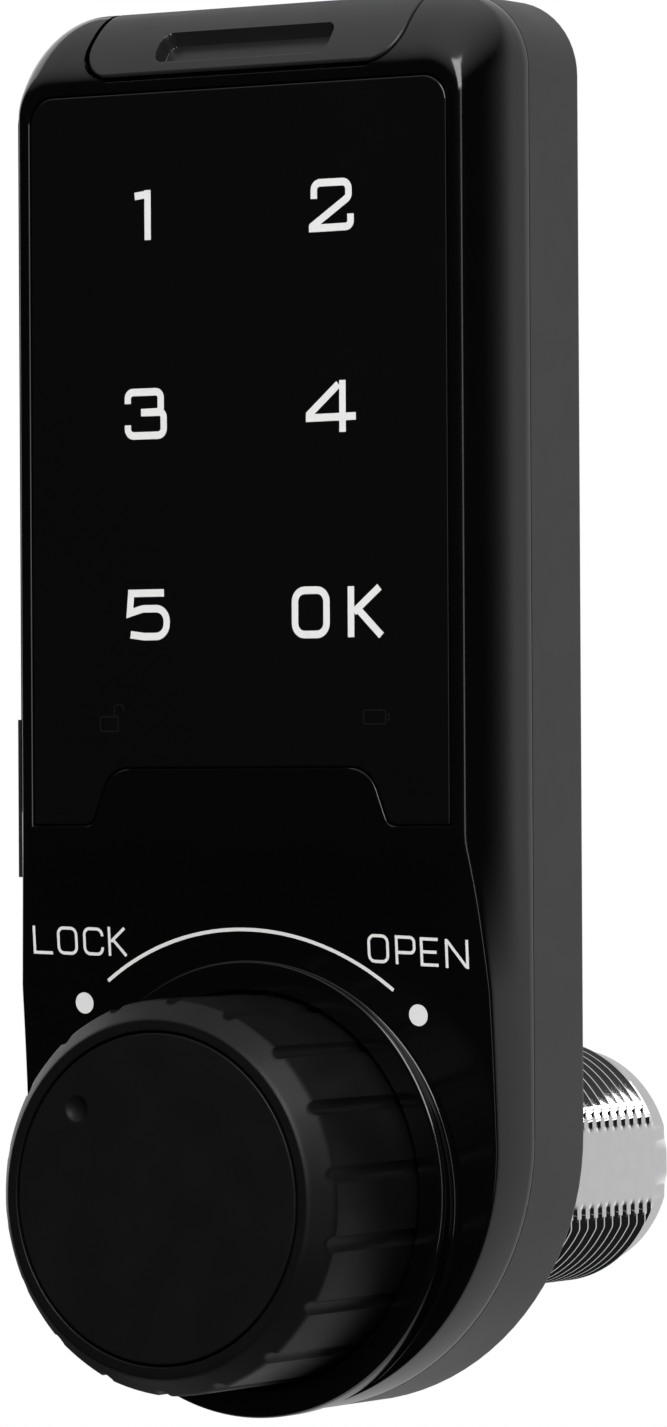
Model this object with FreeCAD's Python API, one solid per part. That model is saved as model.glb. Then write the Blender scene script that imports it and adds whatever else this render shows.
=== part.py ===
"""Slim electronic locker lock: touch keypad over a turning knob, on a threaded barrel.

Millimetres. X is to the right seen from the front, the front looks towards -Y, Z is up.
The origin is on the knob and barrel axis, in the rear face that lies on the locker door.
"""
import FreeCAD, Part
import math
import os
from FreeCAD import Vector

# Battery cells, side by side behind the keypad. They set the depth and width of the case
CELL_RADIUS = 5.1
CELL_LENGTH = 44.2
CELL_NUB = 1.0
NUB_RADIUS = 1.9
CELL_GAP = 0.35               # to the rear wall and to the door before the cell
CELL_SIDE_GAP = 0.2           # to the middle of the bay
BAY_SIDE_GAP = 0.9
BAY_WALL = 0.8
SPRING_ROOM = 5.2             # below the cells, for the leaf springs
CONTACT_THICKNESS = 0.4
CONTACT_GAP = 0.15
CONTACT_LAP = 3.0             # of the door's contact, past the middle of a cell
CONTACT_HALF_WIDTH = 2.5
SPRING_HALF_LENGTH = 3.5
SPRING_HALF_WIDTH = 2.2

# Battery door: a cap with two guide legs and a finger grip
DOOR_GAP = 0.25
DOOR_RIM = 0.35               # from a leg to the side of the door
DOOR_ROOF = 2.25
DOOR_CORNER = 2.6
DOOR_REAR_WALL = 1.3
LEG_THICKNESS = 1.2
LEG_DEPTH = 4.0
LEG_LENGTH = 16.0
GRIP_LENGTH = 15.0
GRIP_WIDTH = 2.6
GRIP_DEPTH = 0.9
GRIP_LEAN = 51.6              # slope of the door where the finger grip is sunk in

# Walls of the case and the layers behind the keypad
WALL = 1.3
REAR_WALL = 1.0
BASE_DEPTH = 7.3              # rear base, from the locker door to the seam
PANEL_THICKNESS = 1.1
LEDGE_THICKNESS = 1.0
BOARD_THICKNESS = 0.8
BOARD_GAP = 0.65              # from the board to the cells
SCREW_STRIP = 6.85            # each side of the door, for the screw posts

# Crown of the cover: how far its flanks lean in at the keypad face
CORNER_RADIUS = 5.8
SIDE_CROWN = 1.29
SIDE_CROWN_DEPTH = 5.2
TOP_CROWN = 5.2
TOP_CROWN_DEPTH = 6.2
CORNER_TIGHTEN = 2.8

# Knob and the collar of the cover that it turns in
KNOB_RADIUS = 14.5
KNOB_GAP = 0.3
KNOB_LENGTH = 13.5
KNOB_STAND = 12.4             # how far the knob's front stands before the collar's
KNOB_WALL = 2.1
KNOB_LEAN = 1.47              # how much narrower the knob is at its front
KNOB_BEVEL = 1.8
KNOB_RIM = 1.0
COLLAR_WALL = 1.6
COLLAR_STEP = 1.1             # from the keypad face back to the collar's front
COLLAR_SINK = 1.7
COLLAR_MARGIN = 0.25          # from the collar to the round lower end of the case
FLOOR_WALL = 1.3
CAP_GAP = 0.15
CAP_THICKNESS = 1.6
POINTER_ANGLE = 137.0
POINTER_MARGIN = 2.63
POINTER_SIZE = 0.95
GROOVE_COUNT = 18
GROOVE_ANGLE = 8.0            # direction of the first groove
GROOVE_RADIUS = 0.65
GROOVE_DEPTH = 0.4
HUB_RADIUS = 7.0
HUB_CLEARANCE = 0.4
WEB_THICKNESS = 1.6
RIB_COUNT = 6
RIB_THICKNESS = 1.2
KNOB_SCREW_REACH = 6.0
TRAVEL_ANGLE = 95.0

# Lower face: a hollow bend below the keypad, then a gentle slope behind the knob
PRINT_STRIP = 9.6             # between the collar and the keypad face
BEND_LENGTH = 12.0
BEND_DROP = 2.64
BEND_HOLLOW = 0.17
SLOPE_RATIO = 0.085

# Keypad panel, its window and the tab of the cover that it is notched round
PANEL_MARGIN = 2.35
PANEL_TOP_MARGIN = 6.5
PANEL_BOTTOM_MARGIN = 0.95
PANEL_CORNER = 2.0
PANEL_GAP = 0.1
TAB_HEIGHT = 4.25
TAB_HALF_TOP = 11.4
TAB_LEAN = 1.6
TAB_CORNER = 2.4
WINDOW_SIDE = 4.8             # from the panel's side to the window
WINDOW_TOP = 1.7
WINDOW_BOTTOM = 6.05
DIGIT_X = 8.7
DIGIT_DROP = 24.1             # from the panel's top to the middle row of numerals
DIGIT_PITCH = 14.9

# Spindle, lock disc and what holds them
SPINDLE_SQUARE = 6.0
SPINDLE_NECK = 3.9
DISC_SQUARE = 8.0
JOURNAL_RADIUS = 5.5
JOURNAL_LENGTH = 5.0
JOURNAL_RELIEF = 0.4
RUNNING_CLEARANCE = 0.05
SEAT_CLEARANCE = 0.05
SPINDLE_COLLAR = 6.6
COLLAR_THICKNESS = 1.1
CAM_SQUARE = 7.0
CAM_SEAT = 4.3
CAM_SCREW_RADIUS = 2.1
CAM_SCREW_DEPTH = 9.0
DISC_RADIUS = 12.5
DISC_THICKNESS = 2.0
NOTCH_DEPTH = 3.0
NOTCH_WIDTH = 3.4
STOP_RADIUS = 8.6
STOP_ANGLE = -70.0
STOP_PIN = 1.0
STOP_CLEARANCE = 0.25
CLIP_THICKNESS = 0.6
CLIP_RADIUS = 7.2
CLIP_GROOVE = 0.8
WASHER_THICKNESS = 0.3

# Threaded barrel: outer size of the thread, two flats and a plain tip. Every second turn of the thread
# is drawn, as a closed ring
BARREL_RADIUS = 9.525
BARREL_LENGTH = 34.0
THREAD_PITCH = 1.27
THREAD_DEPTH = 0.76
FLAT_DEPTH = 1.225
TIP_STEP = 0.775
TIP_LENGTH = 2.0
TIP_CHAMFER = 0.4
PAD_THICKNESS = 2.6
FLANGE_THICKNESS = 1.8
FLANGE_WIDTH = 3.875
FLANGE_SCREW_COUNT = 4
FLANGE_SCREW_MARGIN = 1.875
FLANGE_SCREW_ANGLE = 45.0

# What the circuit board carries
BOARD_MARGIN = 3.55
BOARD_TOP_MARGIN = 0.7
BOARD_TAIL = 2.0              # how far the board reaches below the keypad face
GUIDE_THICKNESS = 0.5
LIGHT_THICKNESS = 0.4
CHIP_SIZE = 7.0
CHIP_THICKNESS = 0.9
CHIP_X = 4.5
BUZZER_RADIUS = 4.0
BUZZER_THICKNESS = 2.5

# Blocking solenoid between the lock disc and the battery bay
PLUNGER_RADIUS = 1.5
PLUNGER_LENGTH = 14.6
PLUNGER_CLEARANCE = 0.08
PLUNGER_LIFT = 0.5            # tip above the disc when the knob is free
PLUNGER_TAIL = 3.5            # from the tip to the frame
COIL_RADIUS = 3.85
COIL_CORE = 2.3
FRAME_HALF_WIDTH = 4.6
FRAME_PLATE = 0.8
FRAME_ROOM = 0.9
FRAME_BAY_GAP = 4.0
EAR_OFFSET = 2.6
EAR_RADIUS = 2.2

# Power port and its flap on the left flank
PORT_RISE = 3.0               # port above the lower end of the keypad face
FLAP_HEIGHT = 11.9
FLAP_FRONT_MARGIN = 1.9
FLAP_REAR_MARGIN = 0.9
FLAP_STAND = 0.4
FLAP_THICKNESS = 1.5
FLAP_GAP = 0.15
FLAP_PIN = 0.4
FLAP_PIN_LENGTH = 0.6
PORT_BLOCK = 1.7
SOCKET_HEIGHT = 8.9
SOCKET_DEPTH = 3.2
SOCKET_LENGTH = 7.3
SOCKET_GAP = 0.95
SOCKET_SKIN = 0.3
TONGUE_HALF_WIDTH = 3.3
TONGUE_HALF_THICKNESS = 0.35

# Screws
SCREW_RADIUS = 1.2
SCREW_HEAD_RADIUS = 2.1
SCREW_HEAD = 1.2
SCREW_BOSS = 2.1
SCREW_REACH = 2.6             # how far the case screws go into the cover
SCREW_CLEARANCE = 0.1
SCREW_MARGIN = 4.15           # from the side of the case to an upper screw
LOWER_SCREW_MARGIN = 4.35
UPPER_SCREW_DROP = 3.7
LOWER_SCREW_DROP = 1.0
SMALL_SCREW_RADIUS = 0.9
SMALL_HEAD_RADIUS = 1.7

# Depths that follow
SEAM_Y = -BASE_DEPTH
BOARD_REAR_Y = -REAR_WALL - CELL_GAP - 2 * CELL_RADIUS - BOARD_GAP
BOARD_Y = BOARD_REAR_Y - BOARD_THICKNESS
LEDGE_Y = BOARD_Y - LEDGE_THICKNESS
FRONT_Y = LEDGE_Y - PANEL_THICKNESS
CELL_Y = -REAR_WALL - CELL_GAP - CELL_RADIUS
DOOR_POCKET_Y = CELL_Y - CELL_RADIUS - CELL_GAP
COLLAR_FRONT_Y = FRONT_Y + COLLAR_STEP
COLLAR_FLOOR_Y = COLLAR_FRONT_Y + COLLAR_SINK
KNOB_FRONT_Y = COLLAR_FRONT_Y - KNOB_STAND
KNOB_REAR_Y = KNOB_FRONT_Y + KNOB_LENGTH
FLAP_FRONT_Y = FRONT_Y + FLAP_FRONT_MARGIN
FLAP_REAR_Y = SEAM_Y - FLAP_REAR_MARGIN
FLANGE_Y = -PAD_THICKNESS - FLANGE_THICKNESS
WASHER_Y = FLANGE_Y - RUNNING_CLEARANCE - WASHER_THICKNESS
CLIP_Y = WASHER_Y - RUNNING_CLEARANCE - CLIP_THICKNESS
DISC_REAR_Y = CLIP_Y - 4 * RUNNING_CLEARANCE
DISC_Y = DISC_REAR_Y - DISC_THICKNESS
DISC_MIDDLE_Y = DISC_Y + DISC_THICKNESS / 2
HUB_REAR_Y = DISC_Y - 2 * RUNNING_CLEARANCE
CAP_SEAT_Y = KNOB_FRONT_Y + CAP_THICKNESS + SEAT_CLEARANCE
WEB_REAR_Y = CAP_SEAT_Y + WEB_THICKNESS
SPINDLE_END_Y = BARREL_LENGTH + RUNNING_CLEARANCE + COLLAR_THICKNESS + CAM_SEAT

# Widths and radii that follow
CELL_X = CELL_RADIUS + CELL_SIDE_GAP
BAY_HALF_WIDTH = CELL_X + CELL_RADIUS + BAY_SIDE_GAP
DOOR_HALF_WIDTH = BAY_HALF_WIDTH + BAY_WALL + DOOR_GAP + LEG_THICKNESS + DOOR_RIM
HALF_WIDTH = DOOR_HALF_WIDTH + SCREW_STRIP
PANEL_HALF_WIDTH = HALF_WIDTH - PANEL_MARGIN
WINDOW_HALF_WIDTH = PANEL_HALF_WIDTH - WINDOW_SIDE
BOARD_HALF_WIDTH = HALF_WIDTH - BOARD_MARGIN
FLAP_OUTER_X = -HALF_WIDTH - FLAP_STAND
SOCKET_MOUTH_X = FLAP_OUTER_X + FLAP_THICKNESS + SOCKET_GAP
TAB_HALF_BOTTOM = TAB_HALF_TOP + TAB_LEAN
COLLAR_RADIUS = KNOB_RADIUS + KNOB_GAP + COLLAR_WALL
KNOB_RIM_RADIUS = KNOB_RADIUS - KNOB_LEAN
CAP_RADIUS = KNOB_RIM_RADIUS - KNOB_RIM
POINTER_RADIUS = CAP_RADIUS - POINTER_MARGIN
BARREL_FLAT = BARREL_RADIUS - FLAT_DEPTH
THREAD_LENGTH = BARREL_LENGTH - TIP_LENGTH
RING_SPACING = 2 * THREAD_PITCH
TIP_RADIUS = BARREL_RADIUS - TIP_STEP
FLANGE_RADIUS = BARREL_RADIUS + FLANGE_WIDTH
FLANGE_SCREW_CIRCLE = BARREL_RADIUS + FLANGE_SCREW_MARGIN
EAR_X = FRAME_HALF_WIDTH + EAR_OFFSET

# Heights that follow, from the knob up
END_CENTRE_Z = HALF_WIDTH - COLLAR_RADIUS - COLLAR_MARGIN
SLOPE_TOP_Z = COLLAR_RADIUS + PRINT_STRIP
SLOPE_BEND_Z = SLOPE_TOP_Z - BEND_LENGTH
PORT_Z = SLOPE_TOP_Z + PORT_RISE
PLUNGER_TIP_Z = DISC_RADIUS + PLUNGER_LIFT
FRAME_BOTTOM_Z = PLUNGER_TIP_Z + PLUNGER_TAIL
FRAME_TOP_Z = FRAME_BOTTOM_Z + PLUNGER_LENGTH + FRAME_ROOM
EAR_Z = (FRAME_BOTTOM_Z + FRAME_TOP_Z) / 2
BAY_FLOOR_Z = FRAME_TOP_Z + FRAME_BAY_GAP
CELL_BOTTOM_Z = BAY_FLOOR_Z + SPRING_ROOM
CELL_TOP_Z = CELL_BOTTOM_Z + CELL_LENGTH
DOOR_POCKET_Z = CELL_TOP_Z + CONTACT_GAP + CONTACT_THICKNESS
TOP_Z = DOOR_POCKET_Z + DOOR_ROOF
DOOR_BOTTOM_Z = TOP_Z - TOP_CROWN
PANEL_TOP_Z = TOP_Z - PANEL_TOP_MARGIN
PANEL_BOTTOM_Z = SLOPE_TOP_Z + PANEL_BOTTOM_MARGIN
WINDOW_TOP_Z = PANEL_TOP_Z - WINDOW_TOP
WINDOW_BOTTOM_Z = PANEL_BOTTOM_Z + WINDOW_BOTTOM
BOARD_TOP_Z = PANEL_TOP_Z - BOARD_TOP_MARGIN
BOARD_BOTTOM_Z = SLOPE_TOP_Z - BOARD_TAIL
DIGIT_Z = PANEL_TOP_Z - DIGIT_DROP
UPPER_SCREW = (HALF_WIDTH - SCREW_MARGIN, PANEL_TOP_Z - UPPER_SCREW_DROP)
LOWER_SCREW = (HALF_WIDTH - LOWER_SCREW_MARGIN, SLOPE_BEND_Z - LOWER_SCREW_DROP)
CASE_SCREWS = [(side * x, z) for x, z in (UPPER_SCREW, LOWER_SCREW) for side in (1, -1)]
FAR = 60.0                    # beyond the part on every side, for cutting bodies


def box(x0, x1, y0, y1, z0, z1):
    """Block between two corners."""
    return Part.makeBox(x1 - x0, y1 - y0, z1 - z0, Vector(x0, y0, z0))


def rod(radius, y0, y1, x=0.0, z=0.0):
    """Round bar along Y."""
    return Part.makeCylinder(radius, y1 - y0, Vector(x, y0, z), Vector(0, 1, 0))


def upright(radius, z0, z1, x=0.0, y=0.0):
    """Round bar along Z."""
    return Part.makeCylinder(radius, z1 - z0, Vector(x, y, z0), Vector(0, 0, 1))


def tube(outer, inner, y0, y1, x=0.0, z=0.0):
    """Round ring along Y."""
    return rod(outer, y0, y1, x, z).cut(rod(inner, y0 - 1, y1 + 1, x, z))


def square_bar(side, y0, y1):
    """Square bar on the spindle axis."""
    return box(-side / 2, side / 2, y0, y1, -side / 2, side / 2)


def ring_places(count, start, radius):
    """Points (x, z) evenly round the spindle axis, the angle counted from +X towards +Z."""
    angles = [math.radians(start + 360.0 * k / count) for k in range(count)]
    return [(radius * math.cos(a), radius * math.sin(a)) for a in angles]


def rounded_face(corners, place):
    """Flat face from corners (u, v, radius); place turns (u, v) into a point in space."""
    edges = []
    ends = []
    count = len(corners)
    for k in range(count):
        u, v, radius = corners[k]
        before = corners[k - 1]
        after = corners[(k + 1) % count]
        here = Vector(u, v, 0)
        to_before = (Vector(before[0], before[1], 0) - here).normalize()
        to_after = (Vector(after[0], after[1], 0) - here).normalize()
        half = to_before.getAngle(to_after) / 2
        reach = radius / math.tan(half)
        middle = (to_before + to_after).normalize() * (radius / math.sin(half) - radius)
        ends.append((here + to_before * reach, here + middle, here + to_after * reach, radius))
    for k in range(count):
        start, middle, end, radius = ends[k]
        if radius > 0:
            edges.append(Part.Arc(*[place(p.x, p.y) for p in (start, middle, end)]).toShape())
        following = ends[(k + 1) % count][0]
        if (following - end).Length > 1e-6:
            edges.append(Part.makeLine(place(end.x, end.y), place(following.x, following.y)))
    return Part.Face(Part.Wire(edges))


def plate(corners, y0, y1):
    """Plate with a rounded outline in X and Z, between two depths."""
    face = rounded_face(corners, lambda x, z: Vector(x, y0, z))
    return face.extrude(Vector(0, y1 - y0, 0))


def case_outline(y, side_inset, top_inset, corner):
    """Closed outline of the case: straight sides, two upper corners and a round lower end."""
    half = HALF_WIDTH - side_inset
    top = TOP_Z - top_inset
    bend = corner * (1 - math.sqrt(0.5))

    def at(x, z):
        return Vector(x, y, z)

    return Part.Wire([
        Part.makeLine(at(-half, END_CENTRE_Z), at(-half, top - corner)),
        Part.Arc(at(-half, top - corner), at(-half + bend, top - bend), at(-half + corner, top)).toShape(),
        Part.makeLine(at(-half + corner, top), at(half - corner, top)),
        Part.Arc(at(half - corner, top), at(half - bend, top - bend), at(half, top - corner)).toShape(),
        Part.makeLine(at(half, top - corner), at(half, END_CENTRE_Z)),
        Part.Arc(at(half, END_CENTRE_Z), at(0, END_CENTRE_Z - half), at(-half, END_CENTRE_Z)).toShape(),
    ])


def crown_section(depth, inset):
    """Outline of the cover at a depth behind the keypad face, moved in by a wall."""
    side = SIDE_CROWN * max(0.0, 1 - depth / SIDE_CROWN_DEPTH) ** 2
    share = max(0.0, 1 - depth / TOP_CROWN_DEPTH) ** 2
    corner = CORNER_RADIUS - CORNER_TIGHTEN * share - inset
    return case_outline(FRONT_Y + depth, side + inset, TOP_CROWN * share + inset, corner)


def case_prism(y0, y1, inset):
    """Straight part of the case between two depths, moved in by a wall."""
    face = Part.Face(case_outline(y0, inset, inset, CORNER_RADIUS - inset))
    return face.extrude(Vector(0, y1 - y0, 0))


def crowned_body(inset):
    """Outer form of the cover, or the hollow inside it, with its leaning flanks."""
    steps = 5
    depths = [TOP_CROWN_DEPTH * k / (steps - 1) for k in range(steps)]
    crown = Part.makeLoft([crown_section(d, inset) for d in depths], True, False)
    return crown.fuse(case_prism(FRONT_Y + TOP_CROWN_DEPTH, SEAM_Y, inset)).removeSplitter()


def lower_face_y(z):
    """Depth of the straight slope of the lower face at a height."""
    return FRONT_Y + BEND_DROP + SLOPE_RATIO * (SLOPE_BEND_Z - z)


def before_lower_face(offset):
    """Everything in front of the lower face, with the face moved back by an offset."""
    def at(y, z):
        return Vector(-FAR, y + offset, z)

    start = at(FRONT_Y, SLOPE_TOP_Z)
    middle_z = (SLOPE_TOP_Z + SLOPE_BEND_Z) / 2
    middle = at(FRONT_Y + BEND_DROP / 2 + BEND_HOLLOW, middle_z)
    bend = at(FRONT_Y + BEND_DROP, SLOPE_BEND_Z)
    bottom = at(lower_face_y(-FAR), -FAR)
    wire = Part.Wire([
        Part.Arc(start, middle, bend).toShape(),
        Part.makeLine(bend, bottom),
        Part.makeLine(bottom, at(-FAR, -FAR)),
        Part.makeLine(at(-FAR, -FAR), at(-FAR, SLOPE_TOP_Z)),
        Part.makeLine(at(-FAR, SLOPE_TOP_Z), start),
    ])
    return Part.Face(wire).extrude(Vector(2 * FAR, 0, 0))


def panel_corners(gap):
    """Keypad outline with its notch round the tab, moved in by a gap."""
    side = PANEL_HALF_WIDTH - gap
    bottom = PANEL_BOTTOM_Z + gap
    tab_top = PANEL_BOTTOM_Z + TAB_HEIGHT + gap
    small = 0.8
    return [
        (-side, bottom, small), (-TAB_HALF_BOTTOM - gap, bottom, small),
        (-TAB_HALF_TOP - gap, tab_top, TAB_CORNER), (TAB_HALF_TOP + gap, tab_top, TAB_CORNER),
        (TAB_HALF_BOTTOM + gap, bottom, small), (side, bottom, small),
        (side, PANEL_TOP_Z - gap, PANEL_CORNER), (-side, PANEL_TOP_Z - gap, PANEL_CORNER),
    ]


def door_column(gap, y0, y1):
    """Column that the battery door fills, from its rounded lower edge up, widened by a gap."""
    half = DOOR_HALF_WIDTH + gap
    corners = [(-half, DOOR_BOTTOM_Z - gap, DOOR_CORNER), (half, DOOR_BOTTOM_Z - gap, DOOR_CORNER),
               (half, FAR + TOP_Z, 0), (-half, FAR + TOP_Z, 0)]
    return plate(corners, y0, y1)


def flap_corners(gap):
    """Flap outline in X and Y, its rear edge rounded about the hinge, widened by a gap."""
    inner_x = FLAP_OUTER_X + FLAP_THICKNESS
    round_edge = FLAP_THICKNESS / 2 - 0.01
    return [(FLAP_OUTER_X, FLAP_FRONT_Y - gap, 0.3), (inner_x + gap, FLAP_FRONT_Y - gap, 0.3),
            (inner_x + gap, FLAP_REAR_Y + gap, round_edge), (FLAP_OUTER_X, FLAP_REAR_Y + gap, round_edge)]


def flap_axis():
    """Place (x, y) of the flap's hinge pins."""
    return FLAP_OUTER_X + FLAP_THICKNESS / 2, FLAP_REAR_Y - FLAP_THICKNESS / 2


def port_pocket():
    """Hollow that the flap closes."""
    inner_x = FLAP_OUTER_X + FLAP_THICKNESS + FLAP_GAP
    half = FLAP_HEIGHT / 2 + FLAP_GAP
    return box(-FAR, inner_x, FLAP_FRONT_Y - FLAP_GAP, FLAP_REAR_Y + FLAP_GAP, PORT_Z - half, PORT_Z + half)


def case_boss(x, z, y0, y1):
    """Screw post between two depths."""
    return rod(SCREW_BOSS, y0, y1, x, z)


def front_cover():
    """Crowned cover with the keypad seat, the knob collar, the door cut-out and the port."""
    body = crowned_body(0).cut(before_lower_face(0))
    body = body.fuse(rod(COLLAR_RADIUS, COLLAR_FRONT_Y, SEAM_Y - WALL))
    hollow = crowned_body(WALL).cut(box(-FAR, FAR, -FAR, BOARD_Y, -FAR, FAR + TOP_Z))
    hollow = hollow.cut(before_lower_face(WALL))
    hollow = hollow.fuse(rod(COLLAR_RADIUS - 2 * WALL, COLLAR_FLOOR_Y + FLOOR_WALL, SEAM_Y))
    hollow = hollow.cut(port_block())
    body = body.cut(hollow)
    for x, z in CASE_SCREWS:
        body = body.fuse(case_boss(x, z, max(BOARD_Y, lower_face_y(z) + WALL / 2), SEAM_Y))
    cuts = [
        plate(panel_corners(0), FRONT_Y - 1, LEDGE_Y),
        box(-WINDOW_HALF_WIDTH, WINDOW_HALF_WIDTH, LEDGE_Y - 1, BOARD_Y + 1, WINDOW_BOTTOM_Z, WINDOW_TOP_Z),
        rod(KNOB_RADIUS + KNOB_GAP, COLLAR_FRONT_Y - 1, COLLAR_FLOOR_Y),
        rod(HUB_RADIUS + HUB_CLEARANCE, COLLAR_FLOOR_Y - 1, SEAM_Y),
        door_column(DOOR_GAP, FRONT_Y - 1, SEAM_Y + 1),
        port_pocket(),
        port_mouth(),
    ]
    hinge_x, hinge_y = flap_axis()
    reach = FLAP_HEIGHT / 2 + FLAP_PIN_LENGTH + 2 * FLAP_GAP
    cuts.append(upright(FLAP_PIN + RUNNING_CLEARANCE, PORT_Z - reach, PORT_Z + reach, hinge_x, hinge_y))
    pilot_y = SEAM_Y - SCREW_REACH - SCREW_CLEARANCE
    for x, z in CASE_SCREWS:
        cuts.append(rod(SCREW_RADIUS + SEAT_CLEARANCE, pilot_y, SEAM_Y + 1, x, z))
    return body.cut(Part.makeCompound(cuts))


def port_block():
    """Thick patch of the cover's left wall round the port."""
    inner_x = FLAP_OUTER_X + FLAP_THICKNESS + FLAP_GAP
    half = FLAP_HEIGHT / 2 + FLAP_PIN_LENGTH + WALL
    return box(-FAR, inner_x + PORT_BLOCK, FLAP_FRONT_Y - WALL, FLAP_REAR_Y + FLAP_GAP + 0.4,
               PORT_Z - half, PORT_Z + half)


def port_mouth():
    """Opening in the thick patch that the power socket looks through."""
    gap = 2 * SCREW_CLEARANCE
    y0 = BOARD_REAR_Y - gap
    y1 = BOARD_REAR_Y + SOCKET_DEPTH + gap
    half = SOCKET_HEIGHT / 2 + gap
    return box(-FAR, -HALF_WIDTH + 4 * WALL, y0, y1, PORT_Z - half, PORT_Z + half)


def rear_base():
    """Tray on the locker door: battery bay, screw posts, barrel pad and solenoid posts."""
    body = case_prism(SEAM_Y, 0, 0)
    rim = [e for e in body.Edges if abs(e.BoundBox.YMax) < 1e-6 and abs(e.BoundBox.YMin) < 1e-6]
    body = body.makeFillet(0.4, rim)
    body = body.cut(case_prism(SEAM_Y - 1, -REAR_WALL, WALL))
    additions = [rod(FLANGE_RADIUS + WALL, -PAD_THICKNESS, -REAR_WALL / 2)]
    for x, z in CASE_SCREWS:
        additions.append(rod(SCREW_BOSS + WALL / 2, SEAM_Y, -REAR_WALL / 2, x, z))
    for side in (-1, 1):
        additions.append(rod(EAR_RADIUS, DISC_MIDDLE_Y + COIL_RADIUS, -REAR_WALL / 2, side * EAR_X, EAR_Z))
        additions.append(bay_wall(side * (BAY_HALF_WIDTH + BAY_WALL / 2)))
    half = BAY_HALF_WIDTH + BAY_WALL
    additions.append(box(-half, half, CELL_Y - CELL_RADIUS, -REAR_WALL / 2,
                         BAY_FLOOR_Z, BAY_FLOOR_Z + BAY_WALL))
    additions.append(box(-BAY_WALL, BAY_WALL, CELL_Y + CELL_RADIUS * 0.65, -REAR_WALL / 2,
                         BAY_FLOOR_Z, DOOR_BOTTOM_Z - 2 * DOOR_GAP))
    body = body.multiFuse(additions)
    cuts = [
        rod(BARREL_RADIUS + SCREW_CLEARANCE, -FAR, FAR),
        door_column(DOOR_GAP, SEAM_Y - FAR, -DOOR_REAR_WALL + DOOR_GAP),
    ]
    for x, z in CASE_SCREWS:
        cuts.append(rod(SCREW_RADIUS + SCREW_CLEARANCE, SEAM_Y - 1, 1, x, z))
        cuts.append(rod(SCREW_HEAD_RADIUS + SCREW_CLEARANCE, -SCREW_HEAD - SCREW_CLEARANCE, 1, x, z))
    for x, z in ring_places(FLANGE_SCREW_COUNT, FLANGE_SCREW_ANGLE, FLANGE_SCREW_CIRCLE):
        cuts.append(rod(SCREW_RADIUS + SEAT_CLEARANCE, -FAR, -REAR_WALL / 2, x, z))
    for side in (-1, 1):
        cuts.append(rod(SMALL_SCREW_RADIUS + SEAT_CLEARANCE, -FAR, -REAR_WALL / 2, side * EAR_X, EAR_Z))
    return body.cut(Part.makeCompound(cuts))


def bay_wall(x):
    """Side wall of the battery bay, which also holds the circuit board down."""
    return box(x - BAY_WALL / 2, x + BAY_WALL / 2, BOARD_REAR_Y + SEAT_CLEARANCE, -REAR_WALL / 2,
               BAY_FLOOR_Z, DOOR_BOTTOM_Z - 2 * DOOR_GAP)


def touch_panel():
    """Gloss keypad panel, flush with the cover."""
    return plate(panel_corners(PANEL_GAP), FRONT_Y, LEDGE_Y)


def light_guide():
    """Diffuser sheet in the window behind the panel."""
    gap = 0.2
    y0 = LEDGE_Y + SEAT_CLEARANCE
    return box(-WINDOW_HALF_WIDTH + gap, WINDOW_HALF_WIDTH - gap, y0, y0 + GUIDE_THICKNESS,
               WINDOW_BOTTOM_Z + gap, WINDOW_TOP_Z - gap)


def key_places():
    """Centres (x, z) of the six touch places: two columns, three rows."""
    return [(side * DIGIT_X, DIGIT_Z + row * DIGIT_PITCH) for row in (1, 0, -1) for side in (-1, 1)]


def key_lights():
    """One small lamp behind each touch place."""
    lamps = [box(x - 0.8, x + 0.8, BOARD_Y - LIGHT_THICKNESS, BOARD_Y, z - 0.4, z + 0.4)
             for x, z in key_places()]
    return Part.makeCompound(lamps)


def touch_board():
    """Circuit board behind the panel, notched round the upper screw posts."""
    board = box(-BOARD_HALF_WIDTH, BOARD_HALF_WIDTH, BOARD_Y, BOARD_REAR_Y, BOARD_BOTTOM_Z, BOARD_TOP_Z)
    for x, z in CASE_SCREWS:
        board = board.cut(rod(SCREW_BOSS + SCREW_CLEARANCE, BOARD_Y - 1, BOARD_REAR_Y + 1, x, z))
        outer = math.copysign(FAR, x)
        board = board.cut(box(min(x, outer), max(x, outer), BOARD_Y - 1, BOARD_REAR_Y + 1,
                              z - SCREW_BOSS - SCREW_CLEARANCE, z + SCREW_BOSS + SCREW_CLEARANCE))
    return board


def controller_chip():
    """Controller on the rear of the board, below the battery bay."""
    half = CHIP_SIZE / 2
    return box(CHIP_X - half, CHIP_X + half, BOARD_REAR_Y, BOARD_REAR_Y + CHIP_THICKNESS,
               PORT_Z - half, PORT_Z + half)


def buzzer():
    """Round sounder on the rear of the board with its sound hole."""
    x = BOARD_HALF_WIDTH - BUZZER_RADIUS - 0.6
    body = rod(BUZZER_RADIUS, BOARD_REAR_Y, BOARD_REAR_Y + BUZZER_THICKNESS, x, PORT_Z)
    return body.cut(rod(0.6, BOARD_REAR_Y + BUZZER_THICKNESS / 2, 0, x, PORT_Z))


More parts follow.
